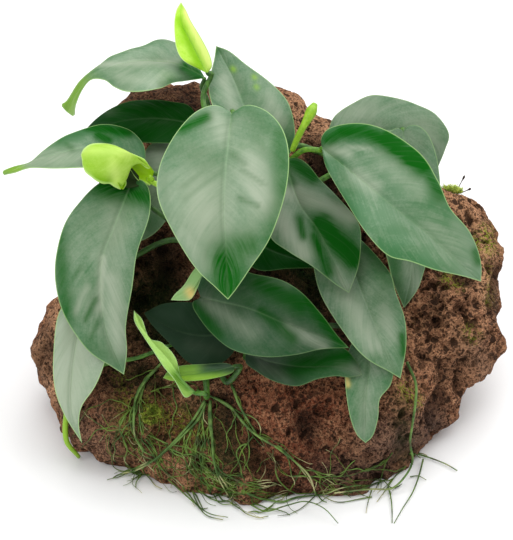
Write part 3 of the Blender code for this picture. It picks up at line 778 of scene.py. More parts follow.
LEAVES = [
    Leaf("front",
         [(232, 113, 92), (226, 165, 98), (224, 209, 99), (226, 250, 96), (228, 299.5, 88)],
         [(214, 105), (193, 114), (173, 138), (159, 168), (158, 198), (173, 232), (195, 267), (216, 288)],
         [(248, 105), (268, 112), (283, 130), (289, 157), (285, 195), (270, 238), (250, 268.5),
          (237, 288)],
         [(-0.1, 0.1, 1), (-0.05, 0, 1), (0, 0.15, 1)], 0.24, stem=((258, 172, 62), (243, 130, 80))),
    Leaf("right",
         [(322, 148, 66), (351, 172, 74), (387, 202, 80), (423, 231, 80), (455, 260, 74),
          (481, 281.5, 62)],
         [(322, 137), (332, 127), (358, 123), (388, 131), (421, 154.5), (438, 181), (450, 208),
          (470, 232), (480, 257)],
         [(327, 169), (347, 203), (367, 234), (388, 255.5), (410, 261.5), (435, 270), (462, 276)],
         [(0.1, 0.1, 1), (0.25, 0.1, 1), (0.3, 0.3, 1)], 0.03,
         stem=((281, 171, 33), (291, 160, 46), (304, 150, 58))),
    Leaf("rear_right",
         [(332, 150, 24), (365, 135, 22), (400, 131, 18), (425, 145, 12), (434, 176, 4)],
         [(329, 132), (335, 115.5), (353, 103), (372, 95), (394, 98), (416, 104.5), (436, 114),
          (449, 133), (445, 150)],
         [(348, 162), (375, 168), (405, 172)],
         [(0, 0.4, 1), (0.2, 0.5, 1)], 0.0, stem=((302, 146, 24),)),
    Leaf("right_behind",
         [(403, 131, 36), (408, 175, 42), (412, 225, 47), (412, 270, 47), (404, 308, 38)],
         [(396, 128), (386, 137), (378, 165), (376, 200), (380, 232), (387, 258), (393, 282)],
         [(411, 125), (421, 127), (431, 139), (438, 163), (440, 195), (436, 232), (425, 268), (417, 290)],
         [(0.2, 0.2, 1), (0.3, 0.1, 1)], 0.33, stem=((288, 200, 36), (335, 172, 37), (374, 152, 34))),
    Leaf("upper",
         [(268, 165, 38), (256, 135, 39), (243, 104, 34), (233, 78, 26), (216, 46, 14)],
         [(245, 160), (224, 132), (211, 101), (209, 82), (214, 60)],
         [(288, 156), (295, 135), (289, 105), (273, 85), (248, 65.5), (230, 52)],
         [(0.1, 0.2, 1), (0.2, 0.3, 1)], 0.06),
    Leaf("upper_left",
         [(205, 78, 24), (177, 65, 30), (153, 62, 36), (135, 62, 40), (117, 66, 43), (104, 71, 44),
          (92, 77, 43), (78, 92, 38), (67, 112, 30)],
         [(196, 62), (185, 50), (172, 41.5), (158, 40), (144, 46), (126, 51), (110, 56), (98, 65),
          (82, 79), (75, 88), (66, 101), (61, 105)],
         [(190, 80.5), (172, 83), (157, 89), (130, 92), (115, 88), (104, 80), (91, 80), (82, 91),
          (76, 104), (74, 116)],
         [(0, 1.2, 1), (0, 1.2, 1), (-0.5, 0.6, 1)], 0.12, sweep=1.05, bulge=(0.1, 0.1),
         stem=((238, 160, 30), (215, 126, 30), (207, 100, 24))),
    Leaf("left",
         [(145, 161, 51), (110, 149, 56), (80, 149, 58), (50, 157, 57), (22, 166.5, 54), (4, 175, 48)],
         [(144, 147), (133, 133), (118, 126), (101, 124), (79, 131), (60, 139), (43, 151), (30, 162),
          (14, 166.5), (3, 171)],
         [(136, 166), (110, 168), (81, 167), (50, 169), (30, 168.5), (14, 173)],
         [(0, 0.9, 1), (-0.1, 1.2, 1), (0, 1, 1)], 0.36, sweep=1.1,
         stem=((200, 184, 40), (165, 176, 44))),
    Leaf("upper_left_behind",
         [(200, 125, 26), (160, 119, 29), (125, 121, 28), (86, 131, 22)],
         [(190, 107), (171, 101.5), (148, 100), (126, 102.5), (106, 111), (90, 125)],
         [(188, 141), (165, 143), (138, 142), (110, 138)],
         [(0, 0.5, 1), (-0.2, 0.6, 1)], 0.22, stem=((226, 160, 22),)),
    Leaf("left_hanging",
         [(132, 181, 56), (115, 225, 64), (103, 257, 67), (101, 290, 66), (106, 330, 61),
          (124, 374.5, 52)],
         [(118, 181), (101, 183), (81, 200.5), (64, 226), (55, 264), (58, 297), (69, 324), (90, 352.5),
          (113, 367.5)],
         [(143, 181), (150, 193), (149, 217), (137, 254), (132, 288), (126, 325), (127, 352)],
         [(-0.1, 0.3, 1), (-0.15, 0.1, 1), (-0.1, 0.1, 1)], 0.5, stem=((195, 235, 46), (152, 208, 48))),
    Leaf("lower_left",
         [(86, 296, 42), (78, 335, 45), (72, 375, 45), (72, 412, 41), (82, 443, 33)],
         [(70, 300), (59, 314), (54, 345), (54, 383), (63, 412)],
         [(104, 305), (112, 332), (104, 366), (95, 387), (82, 406), (79, 424)],
         [(-0.2, 0.1, 1), (-0.2, 0.1, 1)], 0.55, stem=((205, 250, 32), (171, 240, 34), (130, 260, 36))),
    Leaf("inner_left",
         [(185, 152, 27), (165, 185, 33), (145, 215, 35), (122, 246, 33)],
         [(170, 144), (151, 144), (141, 162), (134, 192), (126, 222)],
         [(189, 168), (182, 192), (165, 222), (148, 238)],
         [(0, 0.1, 1), (-0.1, 0.2, 1)], 0.3),
    Leaf("folded_tip",
         [(222, 252, 70), (203, 273, 76), (191, 289, 78), (171, 300, 76)],
         [(206, 257), (193, 271), (184, 285), (175, 294)],
         [(212, 266), (202, 274), (198, 286), (191, 299), (181, 300.5)],
         [(0, 0, -1), (0.2, 0, -1)], 0.58),
    Leaf("right_inner",
         [(285, 160, 54), (292, 185, 60), (302, 208, 64), (317, 229, 67), (330, 254, 66), (349, 293, 60)],
         [(275, 170), (267, 190), (264, 215), (271, 238), (288, 251.5), (313, 267), (335, 284)],
         [(297, 158), (309, 166), (322, 182), (347, 207), (359, 224), (361, 244), (358, 268)],
         [(0.2, 0.3, 1), (0.15, 0.1, 1), (0.1, 0.3, 1)], 0.2, stem=((279, 184, 42),)),
    Leaf("right_long",
         [(335, 225, 38), (350, 262, 46), (366, 302, 55), (383, 342, 65), (400.5, 378.5, 66)],
         [(322, 234), (314, 250), (314, 269), (321, 295), (340, 327), (363, 356), (388, 371)],
         [(350, 231), (371, 250), (390, 273), (396, 293), (405, 320), (406, 348)],
         [(0.1, 0.2, 1), (0.15, 0.1, 1)], 0.44, stem=((288, 232, 42),)),
    Leaf("low_pale",
         [(372, 330, 54), (370, 365, 60), (366, 400, 63), (365.5, 443, 57)],
         [(356, 338), (347, 356), (345, 380), (349, 412), (356, 433)],
         [(386, 340), (394, 360), (391, 384), (380, 399), (378, 418), (373, 435)],
         [(0, 0.1, 1), (0, 0.2, 1)], 0.62, stem=((300, 322, 46), (345, 326, 48))),
    Leaf("centre_low",
         [(201, 298, 66), (221, 302, 72), (250, 309, 77), (281, 322, 78), (318, 336, 76), (349, 348, 72)],
         [(198, 284), (207, 271), (228, 267), (254, 274), (281, 280), (302, 293), (322, 314.5),
          (338, 336)],
         [(193, 303), (197, 315), (211, 333), (233, 350), (264, 357), (295, 355), (322, 349)],
         [(-0.1, 0.2, 1), (0.1, 0.2, 1)], 0.66),
    Leaf("under_low",
         [(246, 353, 61), (270, 362, 66), (300, 367, 68), (335, 367, 68), (362, 375, 65)],
         [(256, 344), (282, 341), (315, 341), (342, 347), (356, 360)],
         [(246, 363), (256, 371), (274, 381), (297, 386), (316, 379), (335, 376), (350, 377.5)],
         [(0, 0.3, 1), (0, 0.4, 1)], 0.7, stem=((247, 334, 51),)),
    Leaf("centre_dark",
         [(245, 236, 42), (275, 252, 46), (326, 268, 33)],
         [(258, 229), (285, 236), (310, 252)],
         [(242, 254), (251, 266.5), (264, 271), (290, 268.5)],
         [(0, 0.3, 1), (0, 0.3, 1)], 0.48),
    Leaf("low_left_dark",
         [(232, 330, 54), (205, 336, 56), (175, 330, 55), (144, 313, 52)],
         [(222, 312), (195, 303), (165, 304)],
         [(235, 349), (222, 363), (205, 367), (188, 362), (172, 346), (152, 325)],
         [(0, 0.3, 1), (0, 0.2, 1)], 0.82),
    Leaf("low_left_bright",
         [(234, 366, 69), (220, 370, 68), (195, 374, 65), (163, 378, 61)],
         [(224, 363), (206, 364), (185, 365), (171, 368)],
         [(233, 372), (220, 377), (198, 380.5), (174, 381)],
         [(0, 0.3, 1), (0, 0.3, 1)], 0.9, stem=((226, 382, 59),)),
    Leaf("curled",
         [(194, 393, 66), (181, 380, 70), (169, 362, 72), (153, 344, 71), (140, 326, 68), (134, 311, 66)],
         [(184, 397), (174, 379), (164, 366), (155, 352), (144, 337), (135, 322)],
         [(186, 386), (180, 376), (176, 358), (163, 343), (149, 338), (142, 320)],
         [(-1, 0, -0.8), (-0.8, -0.4, -0.8), (-1, 0, -0.8)], 0.99, stem=((207, 396, 60),)),
    Leaf("young_spear",
         [(207, 73, 42), (200, 59, 42), (191, 41, 41), (182, 23, 38), (181, 2, 34)],
         [(197, 68), (183, 60), (176, 47), (174, 26), (176, 11)],
         [(212, 66), (209, 53), (200, 36), (191, 21), (186, 10)],
         [(-0.3, 0, 1), (-0.3, 0, 1)], 0.16, fold=(35, 35), bulge=(0.1, 0.1), young=True,
         stem=((240, 168, 42), (212, 126, 42), (203, 98, 36)), rib=0.3),
    Leaf("young_rolled",
         [(153, 179, 66), (137, 161, 72), (118, 155, 77), (101, 157, 78), (89, 159, 75), (82, 157, 70)],
         [(152, 168), (141, 157), (128, 149), (113, 144.5), (97, 145), (86, 149)],
         [(144, 173), (134, 166), (126, 166), (122, 174), (125, 187), (117, 189), (102, 181), (88, 174),
          (82, 165)],
         [(0, 0.4, 1), (0, 0.3, 1)], 0.42, fold=(-25, -15), bulge=(0.25, 0.25), sweep=1.0, young=True,
         stem=((205, 205, 48), (170, 190, 60)), rib=0),
]

# The kinds of patch on a leaf, in this order: the saturated green of painted shade where no sheen falls,
# a painted sheen of pale grey green, the dull green of painted shade, the green of young growth, and a dry
# yellow spot.
PATCH_KINDS = ("deep", "bloom", "dusk", "lime", "worn")

# How each leaf is finished: how much painted sheen lies on it all over, its painted shading (a factor
# below 1 for painted shade and above 1 for painted light), then its patches of each kind.
FINISH = {
    "front": (0.37, 1.0, {
        "deep": [
            (182, 130, 206, 117, 7.5, 0.9), (243, 170, 264, 184, 3.3, 0.4), (240, 198, 258, 206, 3.3, 0.5),
            (233, 155, 245, 164, 4, 0.4), (196, 124, 176, 150, 18, 0.3), (228, 260, 229, 298, 25, 0.95),
            (222, 252, 248, 245, 18, 0.75), (250, 112, 280, 140, 16, 0.4), (280, 136, 284, 190, 15, 0.6),
            (258, 138, 272, 162, 9, 0.35), (284, 190, 268, 238, 12, 0.5), (164, 170, 166, 215, 7, 0.3),
            (188, 150, 206, 162, 18, 0.25), (181, 188, 217, 160, 3.3, 0.3), (184, 200, 220, 172, 3.3, 0.28),
        ],
        "bloom": [
            (203, 196, 207, 228, 29.7, 0.85), (252, 166, 264, 202, 17.6, 0.95),
            (214, 118, 222, 134, 10.8, 0.7), (186, 234, 206, 264, 12.2, 0.75),
            (165, 180, 170, 214, 12.2, 0.5), (250, 226, 240, 236, 12.2, 0.4),
        ],
    }),
    "right": (0.08, 0.93, {
        "deep": [
            (328, 140, 342, 132, 9, 0.9), (342, 132, 366, 132, 10.5, 1.0), (366, 132, 388, 142, 11, 1.0),
            (388, 140, 423, 165, 13, 1.25), (423, 165, 440, 195, 9, 0.8), (475, 252, 478, 262, 6, 0.8),
            (334, 160, 352, 192, 7.5, 0.3),
        ],
        "bloom": [
            (328, 149, 348, 153, 6.8, 0.75), (346, 146, 372, 150, 2.7, 0.7),
            (358, 176, 374, 188, 10.8, 0.65), (385, 160, 420, 188, 16.2, 0.45),
            (392, 210, 430, 226, 21.6, 0.2), (430, 232, 470, 264, 20, 0.4), (456, 226, 474, 256, 12, 0.4),
            (404, 154, 440, 200, 10, 0.25),
        ],
    }),
    "rear_right": (0.42, 0.78, {
        "bloom": [(340, 114, 372, 108, 12.2, 0.5), (420, 125, 440, 150, 10.8, 0.4)],
    }),
    "right_behind": (0.4, 0.72, {
        "deep": [(392, 262, 402, 300, 9, 0.6)],
        "bloom": [(412, 270, 420, 290, 9.5, 0.5)],
    }),
    "upper": (0.38, 0.84, {
        "deep": [(208, 43, 215, 50, 7.5, 0.8), (245, 150, 285, 150, 18, 0.6), (240, 85, 262, 125, 9, 0.3)],
        "bloom": [(224, 80, 234, 112, 6.8, 0.6), (268, 96, 282, 122, 8.1, 0.5)],
        "lime": [(233, 69, 234, 70, 2.7, 0.9), (254, 77, 255, 78, 2.7, 0.8), (256, 87, 257, 88, 2.7, 0.7)],
    }),
    "upper_left": (0.44, 0.95, {
        "deep": [(184, 68, 200, 78, 9, 1.0), (160, 84, 185, 78, 4.5, 0.4), (76, 88, 66, 112, 9, 0.5)],
        "bloom": [(95, 65, 178, 62, 3.4, 0.8), (120, 78, 160, 84, 6.8, 0.5)],
        "lime": [(78, 82, 68, 112, 13.5, 0.8), (62, 103, 72, 110, 12.2, 0.8)],
    }),
    "left": (0.12, 0.96, {
        "deep": [
            (88, 127, 128, 132, 7.5, 1.0), (98, 136, 108, 141, 6, 1.0), (66, 144, 72, 149, 4.5, 0.5),
            (118, 140, 138, 156, 12, 0.3), (60, 142, 84, 133, 6, 0.4),
        ],
        "bloom": [(24, 161, 76, 158, 13.5, 0.7)],
        "lime": [(3, 170, 18, 169, 8.1, 1.0)],
    }),
    "upper_left_behind": (0.05, 0.5, {
        "deep": [(130, 112, 185, 112, 27, 1.0), (120, 128, 180, 135, 24, 1.0)],
        "bloom": [
            (110, 112, 160, 104, 5.4, 0.45), (172, 110, 192, 120, 5.4, 0.3), (148, 124, 180, 112, 8, 0.35),
        ],
        "dusk": [(100, 120, 200, 118, 40.5, 0.5)],
    }),
    "left_hanging": (0.38, 0.88, {
        "deep": [
            (104, 187, 148, 196, 16, 0.95), (58, 225, 66, 322, 10, 0.7), (85, 320, 96, 299, 3.3, 0.6),
            (91, 338, 98, 322, 3.3, 0.5), (66, 290, 80, 268, 3.3, 0.5), (76, 225, 92, 210, 9, 0.25),
            (88, 346, 118, 362, 12, 0.4),
        ],
        "bloom": [
            (103, 258, 100, 308, 5.4, 1.0), (111, 280, 120, 350, 10.8, 0.8), (76, 312, 88, 287, 3.4, 0.6),
            (118, 205, 112, 250, 13.5, 0.45),
        ],
    }),
    "lower_left": (0.74, 1.0, {
        "bloom": [(72, 330, 66, 400, 21.6, 1.0)],
    }),
    "inner_left": (0.6, 0.75, {
        "deep": [(140, 200, 150, 225, 12, 0.5)],
        "bloom": [(150, 148, 160, 156, 12.2, 0.7)],
    }),
    "folded_tip": (0.3, 0.9, {
        "worn": [(190, 292, 193, 297, 5, 1.0)],
    }),
    "right_inner": (0.36, 0.68, {
        "deep": [
            (294, 163, 313, 176, 12, 1.0), (286, 168, 292, 182, 7.5, 0.7), (322, 224, 354, 258, 13.5, 1.3),
            (299, 219, 303, 236, 6, 0.9), (314, 236, 328, 272, 7.5, 0.9),
        ],
        "bloom": [
            (290, 190, 350, 217, 9.5, 0.95), (278, 215, 304, 254, 10.8, 0.95),
            (336, 270, 347, 286, 6.8, 0.6),
        ],
    }),
    "right_long": (0.38, 0.79, {
        "deep": [
            (366, 244, 394, 278, 13.5, 0.6), (402, 336, 404, 354, 4.5, 0.8), (330, 245, 352, 262, 15, 0.4),
        ],
        "bloom": [(348, 300, 372, 345, 10.8, 0.7), (385, 310, 392, 340, 8.1, 0.55)],
    }),
    "low_pale": (0.36, 0.78, {
        "bloom": [(366, 390, 364, 430, 8.1, 0.4)],
        "worn": [(346, 377, 348, 385, 2.6, 0.85)],
    }),
    "centre_low": (0.2, 0.52, {
        "deep": [
            (258, 282, 300, 304, 13.5, 0.9), (308, 300, 344, 343, 10.5, 1.0),
            (262, 312, 292, 338, 7.5, 0.85), (195, 306, 218, 334, 7.5, 0.8),
            (225, 290, 250, 300, 10.5, 0.5),
        ],
        "bloom": [
            (206, 302, 252, 334, 8.1, 0.45), (288, 328, 324, 346, 6.8, 0.7), (254, 280, 288, 286, 4.1, 0.3),
        ],
        "dusk": [(200, 300, 340, 330, 54, 0.5)],
    }),
    "under_low": (0.2, 0.48, {
        "deep": [(297, 368, 344, 356, 13.5, 1.0)],
        "bloom": [(262, 366, 286, 378, 6.8, 0.2), (340, 363, 361, 372, 6.8, 0.65)],
        "dusk": [(248, 358, 290, 374, 18.9, 0.9)],
    }),
    "centre_dark": (0.0, 0.5, {
        "deep": [(250, 240, 315, 262, 39, 1.0)],
        "dusk": [(245, 235, 300, 245, 16.2, 0.6)],
    }),
    "low_left_dark": (0.0, 0.22, {
        "bloom": [(190, 345, 225, 352, 6.8, 0.15)],
        "dusk": [(150, 318, 230, 345, 81, 1.0)],
    }),
    "low_left_bright": (0.0, 0.6, {
        "dusk": [(205, 364, 240, 366, 8, 0.8)],
        "lime": [(166, 379, 240, 378, 5, 1.0), (172, 372, 192, 372, 10, 0.7)],
    }),
    "curled": (0.0, 1.0, {
        "deep": [(178, 376, 198, 389, 9, 1.0)],
        "lime": [(136, 315, 165, 365, 40.5, 0.4)],
    }),
    "young_spear": (0.3, 1.25, {
        "deep": [(178, 20, 199, 68, 4.5, 0.7)],
        "bloom": [(188, 12, 210, 62, 5, 1.2), (196, 30, 211, 62, 6, 1.2)],
    }),
    "young_rolled": (0.28, 0.93, {
        "deep": [(95, 178, 108, 182, 6, 0.7), (90, 158, 106, 156, 9, 0.35)],
        "bloom": [(84, 152, 130, 152, 5.4, 0.6), (112, 160, 117, 182, 5.4, 0.7)],
    }),
}

# The underside's green, and that of the leaves that turn it to the viewer.
LINING = (0.16, 0.30, 0.11)
LININGS = {
    "curled": (0.36, 0.62, 0.11),
    "folded_tip": (0.22, 0.40, 0.12),
    "young_rolled": (0.40, 0.68, 0.003),
}

SPINE_STEPS = 60


def spine_of(leaf):
    """The midrib's points, directions and the upper side's normals, SPINE_STEPS of each and one."""
    points = evenly(line_on_sheet(leaf.midrib), SPINE_STEPS + 1)
    facing = [Vector(direction).normalized() for direction in leaf.facing]
    tangents = []
    normals = []
    for i in range(SPINE_STEPS + 1):
        tangent = (points[min(i + 1, SPINE_STEPS)] - points[max(i - 1, 0)]).normalized()
        normal = along(facing, i / SPINE_STEPS)
        tangents.append(tangent)
        normals.append((normal - tangent * normal.dot(tangent)).normalized())
    return points, tangents, normals


def margin_of(leaf, which, spine, rows):
    """One margin in rows steps, each point brought onto the plane of its half of the blade."""
    points, tangents, normals = spine
    edge = evenly(line_on_sheet(leaf.margins[which]), rows + 1)
    half = SPINE_STEPS // 2
    across = normals[half].cross(tangents[half])
    sideways = 1 if (edge[rows // 2].xy - points[half].xy).dot(across.xy) > 0 else -1
    angle = math.radians(leaf.fold[which]) * sideways
    for i, place in enumerate(edge):
        near = min(range(SPINE_STEPS + 1), key=lambda j: (points[j].xy - place.xy).length)
        root = points[near]
        normal = Quaternion(tangents[near], angle) @ normals[near]
        slope = normal.z if abs(normal.z) > 0.3 else math.copysign(0.3, normal.z)
        offset = place.xy - root.xy
        wave = leaf.ripple * math.sin(2 * math.pi * (2.5 * i / rows + 0.4 * which + len(leaf.name) / 7))
        place.z = root.z - offset.dot(normal.xy) / slope + wave * min(1, offset.length / 8)
    return edge


def fine_margins(leaf, spine):
    """Both margins in FINE_ROWS steps. Their depth follows the solid's coarser margin."""
    margins = []
    for which in (0, 1):
        coarse = margin_of(leaf, which, spine, BLADE_ROWS)
        edge = evenly(line_on_sheet(leaf.margins[which]), FINE_ROWS + 1)
        for row, place in enumerate(edge):
            place.z = along(coarse, row / FINE_ROWS).z
        margins.append(edge)
    return margins


def side_of(column):
    """A column's place across the blade from -1 to 1, closer together at the midrib."""
    t = 2 * column / FINE_COLUMNS - 1
    return math.copysign(abs(t) ** 1.25, t)


def vein_phase(leaf, share, side, length):
    """Counts the side veins from the base to the tip. They bend toward the tip at the margin."""
    bent = share - 0.17 * abs(side) - 0.03 * side * side
    return bent * length / VEIN_SPACING + 0.15 * len(leaf.name)


def swell_at(place, seed):
    """How far a blade's broad unevenness lifts it at a place of the sheet, in millimetres."""
    return noise.noise(place * 0.045 + seed) * 1.3 + noise.noise(place * 0.12 + seed) * 0.4


def build_blade(leaf):
    """A leaf's blade. Its middle sheet is laid row by row from the base to the tip, and facts holds
    what is known at each of its points."""
    spine = spine_of(leaf)
    points, _, normals = spine
    margins = fine_margins(leaf, spine)
    length = length_of(points)
    seed = Vector((len(leaf.name) * 3.7, leaf.joins * 51, 2))
    middle = []
    facts = []
    for row in range(FINE_ROWS + 1):
        share = row / FINE_ROWS
        rib_share = share ** leaf.sweep
        rib = along(points, rib_share)
        normal = along(normals, rib_share).normalized()
        for column in range(FINE_COLUMNS + 1):
            side = side_of(column)
            beside = abs(side)
            which = 1 if side > 0 else 0
            out = margins[which][row] - rib
            wide = out.length
            arch = leaf.bulge[which] * wide * 4 * beside * (1 - beside)
            if not leaf.rib:
                # A blade without a midrib is round from margin to margin.
                arch = out.dot(normal) * (1 - math.sqrt(1 - side * side) - beside)
            place = rib + out * beside + normal * arch
            from_rib = wide * beside
            place += normal * swell_at(place, seed) * ramp(0, 8, from_rib) * leaf.rib
            phase = vein_phase(leaf, share, side, length)
            vein = 1 - abs(math.sin(math.pi * phase))
            relief = -VEIN_DEPTH * vein ** 3 * ramp(0.5, 4, from_rib) * ramp(1, 0.8, beside)
            near_rib = math.exp(-(from_rib / RIB_WIDTH) ** 2)
            relief += -RIB_GROOVE * near_rib * (1 - 0.7 * rib_share)
            keel = RIB_KEEL * near_rib * (1 - 0.85 * rib_share)
            rim = wide * (1 - beside)
            thick = BLADE_RIM + (BLADE_MIDDLE - BLADE_RIM) * ramp(0, 4, rim)
            middle.append(in_room(place))
            facts.append((side, share, phase, from_rib, rim, thick, relief * leaf.rib, keel * leaf.rib))
    return blade_mesh(leaf, middle, facts)


def blade_mesh(leaf, middle, facts):
    """The closed blade: an upper and an under side about the middle sheet, joined at the rim."""
    wide = FINE_COLUMNS + 1
    count = len(middle)
    corners = [row * wide + column for row in range(FINE_ROWS) for column in range(FINE_COLUMNS)]
    quads = [(corner, corner + 1, corner + wide + 1, corner + wide) for corner in corners]
    sheet = bpy.data.meshes.new("sheet")
    sheet.from_pydata(middle, [], quads)
    normals = [vertex.normal.copy() for vertex in sheet.vertices]
    bpy.data.meshes.remove(sheet)
    facing = Vector(leaf.facing[len(leaf.facing) // 2])
    up = VIEW_RIGHT * facing.x + VIEW_UP * facing.y + VIEW_TOWARD * facing.z
    flip = -1 if sum(normals, Vector()).dot(up) < 0 else 1
    upper = []
    under = []
    for place, normal, fact in zip(middle, normals, facts):
        thick, relief, keel = fact[5:]
        upper.append(place + normal * flip * (thick / 2 + relief) * MM)
        under.append(place - normal * flip * (thick / 2 + keel) * MM)
    faces = []
    for quad in quads:
        first, second = (quad, quad[::-1]) if flip > 0 else (quad[::-1], quad)
        faces.append(first)
        faces.append(tuple(count + corner for corner in second))
    for row in range(FINE_ROWS):
        for column in (0, FINE_COLUMNS):
            a = row * wide + column
            b = a + wide
            ring = (a, b, count + b, count + a)
            faces.append(ring if (column == 0) == (flip > 0) else ring[::-1])
    mesh = bpy.data.meshes.new("blade_" + leaf.name)
    mesh.from_pydata(upper + under, [], faces)
    for k, name in enumerate(("side", "share", "vein", "from_rib", "rim")):
        paint(mesh, name, [fact[k] for fact in facts] * 2)
    paint(mesh, "under", [0.0] * count + [1.0] * count)
    for kind, amounts in amounts_at(middle, FINISH[leaf.name][2], PATCH_KINDS):
        paint(mesh, kind, amounts * 2)
    joined = bmesh.new()
    joined.from_mesh(mesh)
    bmesh.ops.remove_doubles(joined, verts=joined.verts, dist=0.01 * MM)
    bmesh.ops.recalc_face_normals(joined, faces=joined.faces)
    joined.to_mesh(mesh)
    joined.free()
    mesh.shade_smooth()
    mesh.set_sharp_from_angle(angle=math.radians(60))
    return new_object("blade_" + leaf.name, mesh)


# The plain green, the saturated green of painted shade and the pale green of painted sheen, of a
# full-grown and of a young leaf.
TONES = (0.030, 0.155, 0.040), (0.002, 0.095, 0.002), (0.330, 0.400, 0.280)
YOUNG_TONES = (0.31, 0.58, 0.024), (0.19, 0.43, 0.003), (0.66, 0.88, 0.20)
# The dull green of painted shade, the lime of young growth and a dry yellow.
DUSK, LIME, WORN = (0.009, 0.026, 0.011), (0.19, 0.37, 0.016), (0.57, 0.46, 0.13)
RIB_TONE = (0.25, 0.42, 0.20)
RIM_TONE, YOUNG_RIM_TONE = (0.34, 0.54, 0.20), (0.56, 0.80, 0.26)


def blade_body(look, tones, painted_sheen_share, ragged):
    """The blade's colour between its veins and its rim, with its painted sheen and painted shade, and how
    much painted shade lies at each place.
    """
    plain, deep, bloom = tones
    body = look.mix(painted_sheen_share, plain, bloom)
    body = look.mix(look.painted("dusk"), body, DUSK)
    body = look.mix(look.math("MULTIPLY", look.painted("bloom"), ragged), body, bloom)
    # The deep patches are painted shade: saturated dark green where no sheen falls.
    painted_shade_share = look.math("MULTIPLY", look.painted("deep"), ragged)
    painted_shade_share = look.math("MINIMUM", painted_shade_share, 1.0)
    body = look.mix(painted_shade_share, body, deep)
    return look.mix(look.painted("lime"), body, LIME), painted_shade_share


def with_midrib(look, body, painted_shading, deep):
    """The colour with a pale midrib, fainter on leaves with more painted shade, and a dark line of painted
    shade on one side of it.
    """
    rib, share = look.painted("from_rib"), look.painted("share")
    stripe = look.reach(rib, 0.1, 1.1, 0.28 * painted_shading, 0)
    stripe = look.math("MULTIPLY", stripe, look.reach(share, 0.1, 0.9, 1, 0.35))
    body = look.mix(stripe, body, RIB_TONE)
    beside = look.math("MULTIPLY", look.reach(rib, 1.0, 1.6), look.reach(rib, 1.6, 3.4, 0.16, 0))
    beside = look.math("MULTIPLY", beside, look.reach(look.painted("side"), -0.02, 0.0, 1, 0))
    return look.mix(beside, body, deep)


def leaf_look(leaf):
    look = Look("leaf_" + leaf.name, roughness=0.5, specular=0.04)
    look.set("Coat Roughness", 0.45)
    look.set("Coat IOR", 1.6)
    painted_sheen_level, painted_shading, _ = FINISH[leaf.name]
    tones = YOUNG_TONES if leaf.young else TONES
    # The leaf's tones are darkened by its painted shade, and lightened by painted light where the factor is
    # above 1.
    tones = [tuple(min(part * painted_shading, 1.0) for part in tone) for tone in tones]
    streak = look.along_veins(1.7, 1.3)
    fine = look.along_veins(4.5, 1.6)
    rim = look.painted("rim")
    # How much painted sheen lies at each place: the leaf's level of it, clouds and streaks along the veins,
    # and less of it near the rim.
    painted_sheen_share = look.math("MULTIPLY_ADD", look.noise(0.012, 6, 0.7), 1.0, painted_sheen_level - 1.15)
    painted_sheen_share = look.math("MULTIPLY_ADD", look.noise(0.0011, 3, 0.7), 0.5, painted_sheen_share)
    painted_sheen_share = look.math("MULTIPLY_ADD", fine, 0.3, painted_sheen_share)
    painted_sheen_share = look.math("SUBTRACT", painted_sheen_share, look.reach(rim, 1.0, 11.0, 0.14, 0))
    painted_sheen_share = look.math("MULTIPLY_ADD", streak, 0.5, painted_sheen_share)
    ragged = look.math("MULTIPLY_ADD", fine, 0.6, look.math("MULTIPLY_ADD", streak, 1.0, 0.20))
    body, painted_shade_share = blade_body(look, tones, painted_sheen_share, ragged)
    vein = look.math("SINE", look.math("MULTIPLY", look.painted("vein"), math.pi))
    vein = look.math("ABSOLUTE", vein)
    body = look.mix(look.reach(vein, 0.0, 0.25, 0.035, 0), body, tones[2])
    if leaf.rib:
        body = with_midrib(look, body, painted_shading, tones[1])
    lining = look.math("MULTIPLY", look.painted("under"), look.reach(painted_shade_share, 0, 1, 0.85, 0.1))
    body = look.mix(lining, body, LININGS.get(leaf.name, LINING))
    body = look.mix(look.painted("worn"), body, WORN)
    # The pale rim dims with the leaf's painted shade.
    edge = YOUNG_RIM_TONE if leaf.young else tuple(part * (0.3 + 0.7 * painted_shading) for part in RIM_TONE)
    rim = look.reach(rim, 0.2, 0.65 if leaf.rib else 1.6, 0.85 * painted_shading * painted_shading, 0)
    look.set("Base Color", look.mix(rim, body, edge))
    # The coat doesn't shine where the painted shade lies, nor on young leaves where they are painted dusk,
    # and it shines less on a leaf with more painted shade.
    dull = look.math("MAXIMUM", painted_shade_share, look.painted("dusk")) if leaf.young else painted_shade_share
    shine = 0.25 if leaf.young else 0.9 * painted_shading * painted_shading
    look.set("Coat Weight", look.reach(dull, 0.0, 1.0, shine, 0.02))
    look.bump(look.math("MULTIPLY_ADD", vein, 0.35, look.math("MULTIPLY", fine, 0.5)), 0.0004, 0.3)
    return look.material


# The leaf that is still rolled has this front shell in place of the solid's layout, and inner walls
# that show through its mouth.
HOOD = {
    "midrib": [
        (150, 168, 66), (139, 158.5, 71), (126, 154, 75), (112, 158, 78), (98, 160, 79), (88, 160, 78),
        (82, 159, 76),
    ],
    "one_margin": [
        (145, 160), (137.6, 156), (127.4, 151.7), (116, 146), (105.7, 143.7), (93.6, 143.7),
        (86.6, 146.6), (82, 152.3),
    ],
    "other_margin": [
        (146.5, 168), (140, 163), (133.8, 160), (128.7, 160.6), (124.2, 165), (120.4, 170.8),
        (119, 175), (118.5, 179), (119, 185), (121, 189.3), (114.6, 186.8), (109.5, 183.6),
        (103, 183.6), (96.8, 181), (91, 176.6), (84.7, 170.8),
    ],
    "facing": [(0, 0, 1), (0, 0, 1)],
    "ripple": 0,
    "fold": (-42, -42),
    "sweep": 1.6,
}

